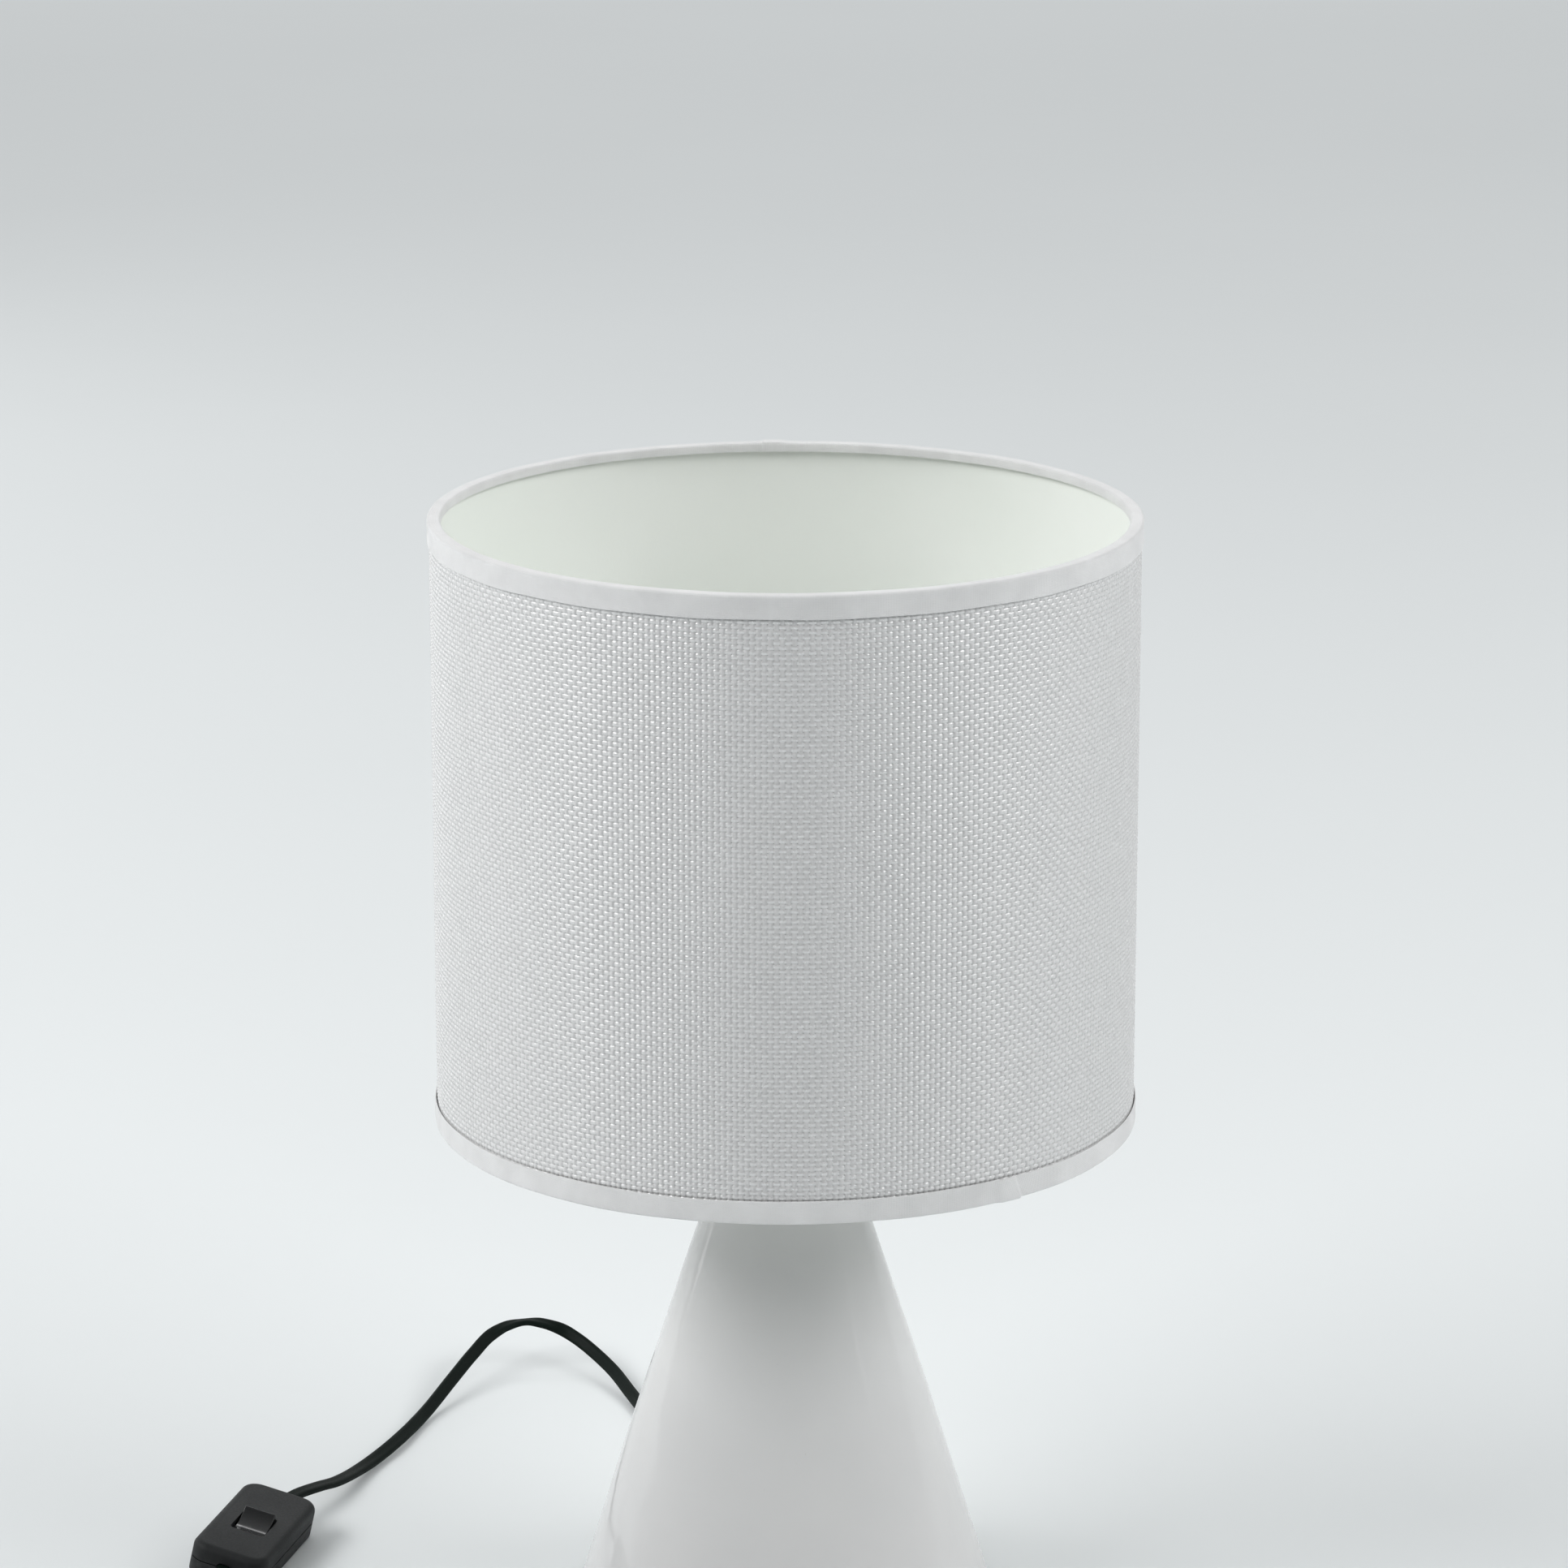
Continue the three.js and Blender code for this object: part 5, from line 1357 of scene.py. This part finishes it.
def plug(finishes):
    on_side = Matrix.Translation((0, 0, PLUG_AXIS)) @ Matrix.Rotation(math.pi / 2, 4, "Y")
    boot = [(0, 2.4), (2.6, 2.4), (2.62, 0, 0.15), (3.0, 0, 0.3)]
    grooves = 5
    for k in range(grooves):
        middle = 3.6 + 3.3 * k
        outer = 3.05 + 1.6 * middle / PLUG_BOOT
        boot += [(outer, middle - 0.9, 0.25), (outer - 0.6, middle - 0.5, 0.2),
                 (outer - 0.6, middle + 0.5, 0.2), (outer + 0.08, middle + 0.9, 0.25)]
    boot += [(4.6, PLUG_BOOT - 2, 0.3), (4.6, PLUG_BOOT, 0.2), (0, PLUG_BOOT)]
    fit_out(turned("plug_boot", boot, SMALL, matrix=PLUG @ on_side), finishes.rubber,
            "lamp", "plug_strain_relief")

    start = PLUG_BOOT + GAP
    front = start + PLUG_LENGTH
    half = PLUG_HALF_WIDTH
    side = bezier((start, 5.5), (start + 10, 6), (start + 12, half), (start + 24, half), 26)
    corner = rounded([(start + 24, half), (front, half, 2.4), (front, 0)], False, 6)[1:-1]
    upper = [tuple(p) for p in side] + [tuple(p) for p in corner]
    outline = np.array(upper + [(x, -y) for x, y in reversed(upper)])
    edges = np.roll(outline, -1, axis=0) - np.roll(outline, 1, axis=0)
    inward = np.stack([edges[:, 1], -edges[:, 0]], 1)
    inward /= np.linalg.norm(inward, axis=1)[:, None]
    fillet = 3.2
    rings = []
    for k in range(9):
        angle = k / 8 * math.pi / 2
        inset = fillet * (1 - math.sin(angle))
        ring = outline + inward * inset
        rings.append([(x, y, fillet * (1 - math.cos(angle))) for x, y in ring])
    rings += [[(x, y, PLUG_HEIGHT - z) for x, y, z in ring] for ring in reversed(rings)]
    vertices, faces = loft(rings)
    fit_out(add_mesh("plug_shell", moved(vertices, PLUG), faces, 50), finishes.black,
            "lamp", "plug_body")

    vertices, faces = [], []
    for top in (False, True):
        for k in range(5):
            bar, sides = slab(1.1, 9.0 + 1.6 * k, 0.5, -0.25, 0.45, 0.0, 0.35)
            place = Matrix.Translation((start + 8 + 2.3 * k, 0, PLUG_HEIGHT if top else 0))
            if not top:
                place = place @ Matrix.Scale(-1, 4, (0, 0, 1)) @ Matrix.Translation((0, 0, -0.45))
            faces += [[i + len(vertices) for i in side] for side in sides]
            vertices += moved(bar, PLUG @ place).tolist()
    fit_out(add_mesh("plug_grips", vertices, faces, 50), finishes.black, "lamp")

    for i, name in enumerate(("left", "right")):
        y = (i - 0.5) * PIN_SPACING
        place = PLUG @ Matrix.Translation((front + GAP, y, 0)) @ on_side
        sleeve = turned(f"plug_sleeve_{name}", [(0, 0), (1.9, 0, 0.1), (1.9, 10, 0.1), (0, 10)], SMALL,
                        matrix=place)
        fit_out(sleeve, finishes.black, "lamp", f"plug_pin_sleeve_{name}")
        start_pin = 10 + THIN_GAP
        pin = turned(f"plug_prong_{name}", [(0, start_pin), (2, start_pin, 0.15), (2, start_pin + 7.6, 0.8),
                                            (1.2, start_pin + 8.7, 0.6), (0, start_pin + 8.7)], SMALL,
                     matrix=place)
        fit_out(pin, finishes.nickel, "lamp", f"plug_pin_{name}")


# ---------- Floor and light ----------

def floor_material():
    look = Look("pale_floor", specular_ior_level=0.05)
    look.set("base color", look.mixed(look.spread(look.noise(2, 2), 0.3, 0.7), (0.775, 0.8, 0.805, 1),
                                      (0.785, 0.81, 0.815, 1)))
    look.set("roughness", look.spread(look.noise(30, 2), 0.3, 0.7, 0.7, 0.85))
    return look.material


def make_floor():
    mesh = bpy.data.meshes.new("floor")
    reach = 14
    mesh.from_pydata([(-reach, -reach, 0), (reach, -reach, 0), (reach, reach, 0), (-reach, reach, 0)], [],
                     [(0, 1, 2, 3)])
    floor = bpy.data.objects.new("floor", mesh)
    bpy.context.scene.collection.objects.link(floor)
    mesh.materials.append(floor_material())


def softbox(name, azimuth, elevation, distance, width, height, power, colour=(1, 1, 1), spread=180):
    """An area light facing the lamp. Azimuth 0 is the camera's side and grows to the right."""
    data = bpy.data.lights.new(name, "AREA")
    data.shape = "RECTANGLE"
    data.size, data.size_y = width, height
    data.energy = power
    data.color = colour
    data.spread = math.radians(spread)
    light = bpy.data.objects.new(name, data)
    bpy.context.scene.collection.objects.link(light)
    a, e = math.radians(azimuth), math.radians(elevation)
    away = Vector((math.sin(a) * math.cos(e), -math.cos(a) * math.cos(e), math.sin(e)))
    light.location = Vector((0, 0, 0.2)) + away * distance
    light.rotation_euler = away.to_track_quat("Z", "Y").to_euler()
    light.visible_camera = False
    return light


def make_light():
    world = bpy.data.worlds.new("studio")
    bpy.context.scene.world = world
    world.use_nodes = True
    nodes, links = world.node_tree.nodes, world.node_tree.links
    direction = nodes.new("ShaderNodeTexCoord").outputs["Generated"]
    split = nodes.new("ShaderNodeSeparateXYZ")
    links.new(direction, split.inputs[0])
    ramp = nodes.new("ShaderNodeMapRange")
    links.new(split.outputs[1], ramp.inputs["Value"])
    for socket, value in (("From Min", -0.9), ("From Max", 0.2), ("To Min", 0.08), ("To Max", 0.55)):
        ramp.inputs[socket].default_value = value
    background = nodes["Background"]
    background.inputs["Color"].default_value = (0.97, 0.99, 1.0, 1)
    links.new(ramp.outputs[0], background.inputs["Strength"])

    softbox("softbox_left", -74, 36, 3.2, 3.0, 1.2, 66)
    softbox("softbox_right", 74, 36, 3.2, 3.0, 1.2, 54)
    softbox("panel_left", -135, 8, 2.4, 1.9, 0.9, 5.5)
    softbox("strip_right", 73, 15, 2.2, 0.03, 0.9, 0.2)
    overhead = softbox("backdrop_top", 180, 32, 9.0, 6.0, 3.0, 150)
    overhead.rotation_euler = (0, 0, 0)


# ---------- Putting it together ----------

def main():
    bpy.context.scene.view_settings.view_transform = "Standard"
    make_camera()
    finishes = Finishes()
    made_leads = leads(finishes)
    lead_tie(finishes)
    ceramic_body(finishes)
    lead_exit(finishes)
    neck(finishes)
    holder(finishes)
    inner_lead(finishes)
    bulb(finishes)
    shade_carrier(finishes)
    shade(finishes)
    inline_switch(finishes)
    plug(finishes)
    make_floor()
    make_light()


main()
